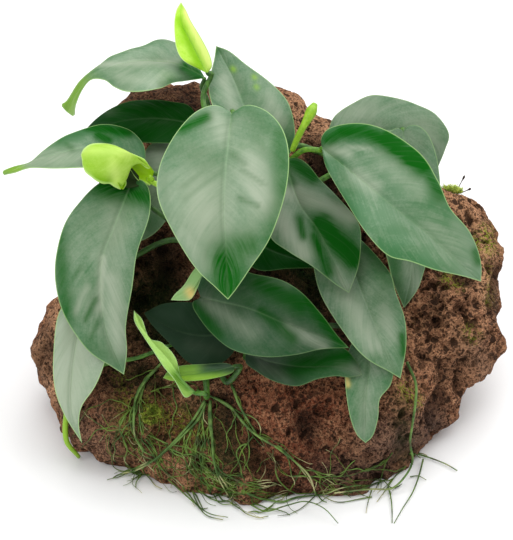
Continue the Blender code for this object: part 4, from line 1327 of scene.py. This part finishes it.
# Each inner wall is (whether it lies in shade, its upper line, its lower line). A wall in shade is
# painted dark all over, a sheet of painted shade in the hood's throat.
HOOD_WALLS = [
    (False,
     [(112, 150, 70), (124, 153, 68), (134, 157, 65), (143, 161, 62), (151, 167, 60), (154, 172, 60)],
     [(114, 166, 66), (125.5, 167.6, 64), (131, 171, 62), (134.5, 176.5, 60), (140, 182, 58),
      (150, 186, 58)]),
    (False,
     [(118, 172, 72), (117, 177, 71), (118, 183, 70), (120.5, 189, 69)],
     [(122, 173, 67), (125.5, 178, 66), (126.5, 184, 66), (123.5, 189.5, 66)]),
    (True,
     [(110, 158, 66), (120, 160, 65), (130, 166, 64), (139, 176, 62)],
     [(112, 184, 62), (120, 187, 61), (130, 188, 61), (139, 186, 60)]),
]

# The passes that smooth the shell, the walls' rows and columns, and how deep the walls are hollowed
# and how thick they are, in millimetres.
HOOD_SMOOTHING = 14
WALL_ROWS, WALL_COLUMNS = 8, 24
WALL_HOLLOW, WALL_THICK = 3.5, 0.5


def close_wall(shell, grid):
    """Adds a wall's faces and closes its edges. grid[row][column] is a front and a back vertex."""
    rows, columns = len(grid) - 1, len(grid[0]) - 1
    for row in range(rows):
        for column in range(columns):
            here, below = grid[row], grid[row + 1]
            ring = here[column], below[column], below[column + 1], here[column + 1]
            shell.faces.new([front for front, _ in ring])
            shell.faces.new([back for _, back in ring[::-1]])
    for row in (0, rows):
        for (a, b), (c, d) in zip(grid[row], grid[row][1:]):
            shell.faces.new((a, c, d, b) if row == 0 else (b, d, c, a))
    for column in (0, columns):
        for here, below in zip(grid, grid[1:]):
            (a, b), (c, d) = here[column], below[column]
            shell.faces.new((a, b, d, c) if column == 0 else (c, d, b, a))


def build_hood(leaf):
    """The rolled leaf: its shell smoothed, with the inner walls added."""
    hood = build_blade(replace(leaf, **HOOD))
    shell = bmesh.new()
    shell.from_mesh(hood.data)
    under, rim, dusk = [shell.verts.layers.float[name] for name in ("under", "rim", "dusk")]
    inner = [vertex for vertex in shell.verts if vertex[rim] > 0.5]
    for _ in range(HOOD_SMOOTHING):
        bmesh.ops.smooth_vert(
            shell, verts=inner, factor=0.5, use_axis_x=True, use_axis_y=True, use_axis_z=True
        )
    for shaded, upper, lower in HOOD_WALLS:
        lines = [evenly(line_on_sheet(line), WALL_COLUMNS + 1) for line in (upper, lower)]
        grid = []
        for row in range(WALL_ROWS + 1):
            share = row / WALL_ROWS
            grid.append([])
            for top, bottom in zip(*lines):
                place = top.lerp(bottom, share) - Vector((0, 0, WALL_HOLLOW * math.sin(math.pi * share)))
                pair = [shell.verts.new(in_room(place - Vector((0, 0, back)))) for back in (0, WALL_THICK)]
                for vertex in pair:
                    # A wall in shade is painted all dusk green as painted shade; the others are lined, with
                    # painted shade toward their lower line.
                    vertex[under] = 0.0 if shaded else 1.0
                    vertex[dusk] = 1.0 if shaded else 0.5 * ramp(0.5, 1, share)
                    vertex[rim] = 9 if shaded else (1 - share) * 8
                grid[-1].append(pair)
        close_wall(shell, grid)
    bmesh.ops.recalc_face_normals(shell, faces=shell.faces)
    shell.to_mesh(hood.data)
    shell.free()
    hood.data.shade_smooth()
    return hood


# The darker and the lighter green of each kind of stem. The second kind is the green darkened as painted
# shade, for stems low among the leaves, and the third the green lightened as painted light, for stems
# high in front. The creeping shoot is green with a lime tip.
STEM_TONES = {
    "green": ((0.025, 0.095, 0.010), (0.095, 0.235, 0.028)),
    "shaded": ((0.012, 0.045, 0.006), (0.045, 0.130, 0.016)),
    "fresh": ((0.060, 0.200, 0.010), (0.180, 0.400, 0.030)),
    "young": ((0.220, 0.440, 0.008), (0.340, 0.580, 0.030)),
}
# The stems with the green lightened as painted light.
LIT_STEMS = ("right", "right_inner", "folded_tip")
# The stems with the green darkened as painted shade.
SHADED_STEMS = (
    "left_hanging", "lower_left", "right_long", "low_pale", "centre_low", "under_low", "centre_dark",
    "low_left_dark", "low_left_bright",
)


def stem_look(name):
    look = Look(name + "_stem", roughness=0.42, specular=0.4)
    streak = look.noise(0.003, 3)
    dark, light = STEM_TONES.get(name, STEM_TONES["green"])
    body = look.mix(look.reach(streak, 0.3, 0.7), dark, light)
    if name == "creeping":
        body = look.mix(look.reach(look.painted("share"), 0.72, 0.82), body, (0.26, 0.48, 0.02))
    look.set("Base Color", body)
    look.bump(look.noise(0.0012, 3), 0.0003, 0.4)
    return look.material


def build_stem(leaf):
    """The stalk from the rhizome through the leaf's stem places to the underside of its blade."""
    points, tangents, normals = spine_of(leaf)

    def by_blade(ahead, below):
        return in_room(points[0] + tangents[0] * ahead - normals[0] * below)

    place = leaf.joins * (RHIZOME_POINTS - 1)
    index = min(int(place), RHIZOME_POINTS - 2)
    before, after = RHIZOME_PATH[index], RHIZOME_PATH[index + 1]
    heart = before.lerp(after, place - index)
    grain = (after - before).normalized()
    passes = [seen_at(*place) for place in leaf.stem] + [by_blade(-2, 6)]
    aim = (passes[0] - heart).normalized() + VIEW_TOWARD
    outward = (aim - grain * aim.dot(grain)).normalized()
    start = heart + outward * (RHIZOME_RADIUS + GAP + 1) * MM
    path = evenly([start, start + outward * 4 * MM, *passes, by_blade(-0.6, 1.6)], STEM_RINGS)
    root = heart + outward * (RHIZOME_RADIUS - 2) * MM
    path = [root, *path, by_blade(0, 0.5), by_blade(2.5, 0.3)]
    last = len(path) - 1
    radii = [STEM_RADIUS * (1.05 - 0.25 * i / last + 0.45 * math.exp(-i / 3)) for i in range(last - 1)]
    radii += [STEM_RADIUS * 0.62, STEM_RADIUS * 0.3]
    return tubes("stalk_" + leaf.name, [(path, radii)], STEM_SIDES)


def stem_kind(name):
    if name in LIT_STEMS:
        return "fresh"
    if name in SHADED_STEMS:
        return "shaded"
    return "young" if name == "young_rolled" else "green"


STEM_LOOKS = {name: stem_look(name) for name in (*STEM_TONES, "creeping")}


def build_leaves():
    for leaf in LEAVES:
        blade = build_hood(leaf) if leaf.name == "young_rolled" else build_blade(leaf)
        show(blade, leaf_look(leaf), "young_leaf" if leaf.young else "leaf", "leaf_" + leaf.name)
        show(build_stem(leaf), STEM_LOOKS[stem_kind(leaf.name)], "stem", "stem_" + leaf.name)


build_leaves()


# ---- Shoots

NEW_SHOOT = [(292, 151, 52), (299, 135, 54), (307, 120, 54), (315, 104, 51)]
NEW_SHOOT_RADII = [1.3, 1.5, 1.6, 1.7, 2.2, 2.7, 1.4]
LOW_SHOOT_LINE = [
    (222, 322), (196, 336), (165, 352), (135, 362), (108, 364), (86, 378), (73, 402), (70, 430), (80, 459),
]


def build_shoots():
    path = evenly([seen_at(*place) for place in NEW_SHOOT], SHOOT_RINGS)
    knots = [Vector((radius, 0, 0)) for radius in NEW_SHOOT_RADII]
    radii = [along(knots, i / (SHOOT_RINGS - 1)).x for i in range(SHOOT_RINGS)]
    upright = tubes("upright_shoot", [(path, radii)], SHOOT_SIDES)
    show(upright, STEM_LOOKS["young"], "young_leaf", "new_shoot")
    path = evenly(over_stone(LOW_SHOOT_LINE, LOW_SHOOT_RADIUS + 0.2, 12), LOW_SHOOT_RINGS)
    shares = [i / (LOW_SHOOT_RINGS - 1) for i in range(LOW_SHOOT_RINGS)]
    radii = [LOW_SHOOT_RADIUS * (0.8 + 0.4 * math.sin(math.pi * share ** 3)) for share in shares]
    creeping = tubes("creeping_shoot", [(path, radii)], LOW_SHOOT_SIDES)
    show(creeping, STEM_LOOKS["creeping"], "young_leaf", "low_shoot")


build_shoots()


# ---- Roots

# Each main root's line over the sheet.
ROOTS = {
    "root_left": [
        (206, 400), (201, 413), (192, 427), (180, 439), (165, 451), (150, 460), (136, 467), (122, 476),
    ],
    "root_hanging": [(211, 402), (212, 424), (214, 445), (214, 464), (221, 480), (230, 494)],
    "root_outer": [
        (158, 367), (149, 379), (138, 394), (134, 407), (133, 421), (136, 434), (143, 445), (146, 450),
    ],
    "root_slanting": [
        (215, 397), (234, 407), (250, 426), (267, 436), (282, 449), (296, 463), (307, 472), (316, 492),
    ],
    "root_right": [
        (404, 364), (411, 380), (412, 398), (409, 424), (409, 448), (409, 466), (400, 487), (380, 492),
        (355, 488), (334, 491),
    ],
    "root_floor_left": [(168, 476), (184, 492), (202, 513), (228, 520)],
    "root_floor_middle": [(250, 503), (262, 514), (288, 508), (315, 505), (338, 526)],
    "root_floor_right": [(423, 462), (419, 478), (412, 496), (402, 512), (394, 526)],
}

# Further strands that can be told apart, as (radius in millimetres, line over the sheet).
STRANDS = {
    "root_left": [
        (0.8, [(206, 402), (200, 418), (188, 431), (175, 444), (160, 456), (142, 464), (124, 474)]),
        (0.45, [(201, 423), (197, 440), (196, 452), (204, 465), (214, 480)]),
        (0.5, [(168, 448), (184, 455), (200, 463), (222, 477), (242, 490)]),
        (0.45, [(192, 432), (186, 446), (190, 460), (200, 474), (208, 484)]),
        (0.35, [(150, 474), (136, 478)]),
    ],
    "root_hanging": [
        (0.9, [(211, 400), (210, 419), (213, 440), (213.5, 457), (219, 471), (230, 488)]),
        (0.5, [(205, 406), (203, 425), (206, 445), (202, 460), (210, 478)]),
        (0.5, [(204, 443), (199, 458), (206, 470), (222, 482), (236, 491)]),
    ],
    "root_outer": [
        (0.65, [
            (160.6, 364), (149, 377), (139, 389), (133.5, 404), (132.7, 424), (138, 439), (144, 451),
            (154, 456),
        ]),
        (0.5, [(139, 415), (141, 428), (146, 438), (158, 454)]),
        (0.45, [(145, 432), (158, 439), (169, 444), (192, 449), (212, 456)]),
        (0.3, [(137, 408), (129, 411), (123, 419)]),
        (0.3, [(134, 426), (128, 430), (123, 428)]),
        (0.4, [(150, 392), (160, 388), (172, 384)]),
    ],
    "root_slanting": [
        (0.5, [
            (198, 391), (215.6, 398), (234.7, 410), (245, 421), (252, 432), (266, 436), (276, 443),
            (289, 455), (301, 469), (311, 482), (318, 495),
        ]),
        (0.85, [(233, 386), (239, 400), (248, 418), (256, 431)]),
        (0.35, [(301, 469), (293, 484), (285, 496), (281, 503)]),
        (0.35, [(302, 469), (312, 470), (321, 475), (334, 483)]),
        (0.3, [(265, 448), (274, 460), (283, 473), (301, 476)]),
        (0.5, [(253, 436), (243, 447)]),
        (0.4, [(256, 434), (266, 440)]),
    ],
    "root_right": [
        (0.5, [(408, 453), (420, 456), (435, 461), (447, 466), (457, 472)]),
        (0.35, [(410, 478), (418, 477), (426, 481)]),
        (0.4, [(405, 465), (396, 476), (388, 488), (377, 503)]),
        (0.45, [(385, 480), (372, 484), (360, 488), (344, 494)]),
        (0.4, [(391, 452), (384, 464), (378, 488)]),
    ],
    "root_floor_left": [
        (0.45, [(198, 489), (209, 499), (222, 503), (231, 500), (235, 493)]),
        (0.4, [(183, 486), (190, 497), (198, 507), (207, 517), (223, 521)]),
        (0.35, [(192, 490), (195, 500), (202, 512)]),
        (0.35, [(227, 492), (231, 500), (233, 507)]),
    ],
    "root_floor_middle": [
        (0.6, [
            (246, 492), (258, 497), (271, 502), (283, 504), (295, 499), (318, 496), (340, 487), (360, 484),
        ]),
        (0.4, [(273, 506), (266, 512), (259, 514)]),
        (0.3, [(315, 497), (302, 509), (288, 516)]),
        (0.35, [(251, 498), (254, 508)]),
    ],
    "root_floor_right": [
        (0.4, [(388, 488), (391, 500), (392, 512), (392, 524)]),
        (0.35, [(372, 498), (360, 500), (345, 503), (335, 503), (322, 497)]),
        (0.3, [(372, 490), (368, 503), (366, 514)]),
    ],
}

# How many fine roots each main root carries.
ROOTLETS = {
    "root_left": 64,
    "root_hanging": 26,
    "root_outer": 44,
    "root_slanting": 26,
    "root_right": 26,
    "root_floor_left": 5,
    "root_floor_middle": 5,
    "root_floor_right": 3,
}
ROOTLET_RADII = (0.2, 0.26, 0.34, 0.44)
ROOTLET_LENGTHS = (25, 100)
ROOTLET_STEP = 4

# How much a fine root's heading changes, wobbles and turns to its drift at each step.
BEND, KINK, HOMING = 0.06, 0.4, 0.2

# Where on the sheet no fine root goes lower, and where none starts further right.
LOWEST_ROOT = 523
ROOTLETS_END = 412

# The line on which the stone meets the floor, a parabola over the sheet: its lowest place and width.
FOOT = (262, 497)
FOOT_WIDTH = 25.5


def below_foot(across, down):
    """How far a place of the sheet lies below the line on which the stone meets the floor."""
    return down - FOOT[1] + ((across - FOOT[0]) / FOOT_WIDTH) ** 2


def drift_of(across, down):
    """The heading that the fine roots turn to: down the stone, then along its foot to the middle."""
    below = below_foot(across, down)
    foot = ramp(-50, 0, below)
    return math.atan2(1 - foot - 0.07 * max(0, below), foot if across < 330 else -foot)


def rootlet(start, heading, length, rng, radius):
    """A thin root that wanders over the sheet from start, and lies on what is seen there."""
    across, down = start
    path = []
    bend = rng.gauss(0, BEND)
    strays = rng.uniform(-4, 26)
    for i in range(max(4, round(length / ROOTLET_STEP))):
        path.append(lies_at(on_sheet(across, min(down, LOWEST_ROOT)), radius + rng.uniform(0.3, 1.0)))
        bend = bend * 0.9 + rng.gauss(0, BEND)
        heading += bend + HOMING * math.sin(drift_of(across, down) - heading)
        kink = rng.gauss(0, KINK)
        across += math.cos(heading + kink) * ROOTLET_STEP
        down += math.sin(heading + kink) * ROOTLET_STEP
        if i > 2 and below_foot(across, down) > strays:
            break
    path = evenly(smoothed(path), len(path) * 2)
    return path, [radius * (1 - 0.5 * i / len(path)) for i in range(len(path))]


def build_root(name, line, rng):
    """A main root with its strands, and the fine roots that start on any of them."""
    coarse = over_stone(line, ROOT_RADIUS, ROOT_STEP)
    path = evenly(coarse, ROOT_FINENESS * len(coarse))
    last = len(path) - 1
    stout = ROOT_RADIUS * (0.5 if name.startswith("root_floor") else 0.85)
    lines = [(path, [stout * (1 - 0.5 * i / last) for i in range(last + 1)])]
    sheet_lines = [line_on_sheet(line)]
    for radius, strand in STRANDS[name]:
        sheet_line = line_on_sheet(strand)
        fine = evenly(sheet_line, STRAND_FINENESS * len(strand))
        path = [lies_at(place, radius + TUBE_CLEARANCE) for place in fine]
        for _ in range(STRAND_SMOOTHING):
            path = smoothed(path)
        last = len(path) - 1
        knobs = [1 + 0.18 * noise.noise(place * 400) for place in path]
        lines.append((path, [radius * (1 - 0.45 * i / last) * knob for i, knob in enumerate(knobs)]))
        sheet_lines.append(sheet_line)
    for i in range(ROOTLETS[name]):
        share = rng.random()
        sheet_line = sheet_lines[i % len(sheet_lines)]
        place = along(sheet_line, share)
        ahead = along(sheet_line, share + 0.05) - place
        heading = math.atan2(-ahead.y, ahead.x) + rng.gauss(0, 0.35)
        start = (place.x / SHEET_UNIT + SHEET_MIDDLE[0], SHEET_MIDDLE[1] - place.y / SHEET_UNIT)
        if start[0] > ROOTLETS_END:
            continue
        length = rng.uniform(*ROOTLET_LENGTHS)
        lines.append(rootlet(start, heading, length, rng, rng.choice(ROOTLET_RADII)))
    return tubes("fibres_" + name, lines, ROOT_SIDES)


def root_look():
    """Green roots, brown where they are worn, with some pale tips."""
    look = Look("root", roughness=0.55, specular=0.3)
    patch = look.noise(0.006, 3)
    fine = look.mix(look.reach(patch, 0.38, 0.60), (0.034, 0.066, 0.008), (0.115, 0.185, 0.020))
    stout = look.mix(look.reach(patch, 0.35, 0.65), (0.035, 0.085, 0.014), (0.130, 0.235, 0.048))
    body = look.mix(look.reach(look.painted("thick"), 0.28, 0.6), fine, stout)
    worn = look.reach(look.noise(0.010, 2), 0.60, 0.70, 0, 0.8)
    body = look.mix(worn, body, (0.070, 0.045, 0.020))
    pale = look.reach(look.noise(0.016, 1), 0.5, 0.6, 0, 0.85)
    tip = look.math("MULTIPLY", look.reach(look.painted("share"), 0.6, 0.95), pale)
    look.set("Base Color", look.mix(tip, body, (0.52, 0.48, 0.24)))
    look.bump(look.noise(0.0008, 3), 0.0002, 0.5)
    return look.material


ROOT_LOOK = root_look()
dice = random.Random(7)
for title, line in ROOTS.items():
    show(build_root(title, line, dice), ROOT_LOOK, "root", title)


# ---- Moss

# Each cushion is (across, down, toward, reach, height), the last three in millimetres.
MOSS = {
    "moss_right": (452, 186, -22, 7, 3.5),
    "moss_front": (152, 414, 45, 6, 2),
}
MOSS_TONES = {
    "moss_right": ((0.26, 0.38, 0.035), (0.78, 0.90, 0.20)),
    "moss_front": ((0.10, 0.15, 0.012), (0.34, 0.40, 0.05)),
}
MOSS_SHOOTS_PER_MM = 50
MOSS_LEAVES = 7

# The radii of a moss shoot, of its leaves and of a spore stalk, from foot to tip, in millimetres.
MOSS_SHOOT_RADII = [0.2, 0.16, 0.05]
MOSS_LEAF_RADII = [0.08, 0.14, 0.03]
SPORE_RADII = [0.26, 0.24, 0.24, 0.24, 0.35, 0.75, 0.2]

# Thin brown stalks with a spore case, as (across, down, across, down) from foot to head.
SPORE_STALKS = {"moss_right": [(457, 190, 464, 177), (461, 193, 470, 189)]}


def build_moss(name, across, down, toward, reach, height, rng):
    """A cushion of short upright shoots, each with small pointed leaves all round."""
    middle, normal, _, _ = STONE_TREE.find_nearest(seen_at(across, down, toward))
    first = normal.orthogonal().normalized()
    second = normal.cross(first)
    lines = []
    for _ in range(round(MOSS_SHOOTS_PER_MM * height)):
        angle, away = rng.uniform(0, 2 * math.pi), reach * math.sqrt(rng.random()) * 0.85
        foot = middle + (first * math.cos(angle) + second * math.sin(angle)) * away * MM
        foot = clear_of_stone(foot, 0.2)
        lean = (normal + (first * rng.gauss(0, 0.4) + second * rng.gauss(0, 0.4))).normalized()
        tip = foot + lean * height * (1.3 - 0.7 * away / reach) * rng.uniform(0.7, 1.25) * MM
        lines.append(([foot, foot.lerp(tip, 0.5), tip], MOSS_SHOOT_RADII))
        for k in range(MOSS_LEAVES):
            base = foot.lerp(tip, (k + 1) / MOSS_LEAVES)
            turn = rng.uniform(0, 2 * math.pi)
            out = (first * math.cos(turn) + second * math.sin(turn) + lean * 0.8).normalized()
            end = base + out * rng.uniform(0.7, 1.5) * MM
            lines.append(([base, base.lerp(end, 0.4), end], MOSS_LEAF_RADII))
    for x0, y0, x1, y1 in SPORE_STALKS.get(name, ()):
        foot, head = seen_at(x0, y0, toward), seen_at(x1, y1, toward + 4)
        stalk = [foot.lerp(head, share / 5) for share in range(6)]
        lines.append((stalk + [head + (head - foot) * 0.12], SPORE_RADII))
    return tubes("tuft_" + name, lines, MOSS_SIDES)


def moss_look(name):
    """Two greens, and brown where a tube is as thick as a spore stalk."""
    look = Look(name, roughness=0.8, specular=0.2)
    patch = look.noise(0.003, 3)
    green = look.mix(look.reach(patch, 0.35, 0.65), *MOSS_TONES[name])
    stalk = look.reach(look.painted("thick"), 0.3, 0.4)
    look.set("Base Color", look.mix(stalk, green, (0.045, 0.022, 0.012)))
    look.bump(look.noise(0.0006, 2), 0.0002, 0.5)
    return look.material


for title, size in MOSS.items():
    show(build_moss(title, *size, dice), moss_look(title), "moss", title)


# ---- Floor, light and camera

# In metres. The floor lies a little low, so that it never shares a face with the stone's flat foot.
FLOOR_SIZE = 6
FLOOR_DROP = 0.0002


def build_floor():
    grid = bmesh.new()
    bmesh.ops.create_grid(grid, x_segments=2, y_segments=2, size=FLOOR_SIZE)
    mesh = bpy.data.meshes.new("floor")
    grid.to_mesh(mesh)
    grid.free()
    floor = new_object("floor", mesh)
    floor.location.z = -FLOOR_DROP
    look = Look("floor", roughness=0.8, specular=0.1)
    look.set("Base Color", (0.93, 0.93, 0.93))
    mesh.materials.append(look.material)


def soft_light(name, toward, spread, strength):
    """A wide soft light far away in the direction toward, spread degrees across."""
    lamp = bpy.data.lights.new(name, "SUN")
    lamp.angle = math.radians(spread)
    lamp.energy = strength
    new_object(name, lamp).rotation_euler = Vector(toward).to_track_quat("Z", "Y").to_euler()


def build_light():
    soft_light("key", (0.36, 0.34, 1), 80, 2.95)
    soft_light("front", (-0.7, -0.8, 0.9), 60, 1.5)
    world = bpy.data.worlds.new("studio")
    world.use_nodes = True
    backdrop = world.node_tree.nodes["Background"]
    backdrop.inputs["Color"].default_value = (1, 1, 1, 1)
    backdrop.inputs["Strength"].default_value = 0.35
    bpy.context.scene.world = world


def build_camera():
    camera = bpy.data.cameras.new("camera")
    camera.sensor_width = 36
    half_height = SHEET_MIDDLE[1] * SHEET_UNIT * MM
    camera.lens = camera.sensor_width / 2 / (half_height / VIEW_DISTANCE)
    eye = new_object("camera", camera)
    eye.location = VIEW_CENTRE + VIEW_TOWARD * VIEW_DISTANCE
    eye.rotation_euler = (-VIEW_TOWARD).to_track_quat("-Z", "Y").to_euler()
    bpy.context.scene.camera = eye


build_floor()
build_light()
build_camera()
bpy.context.scene.view_settings.view_transform = "Standard"
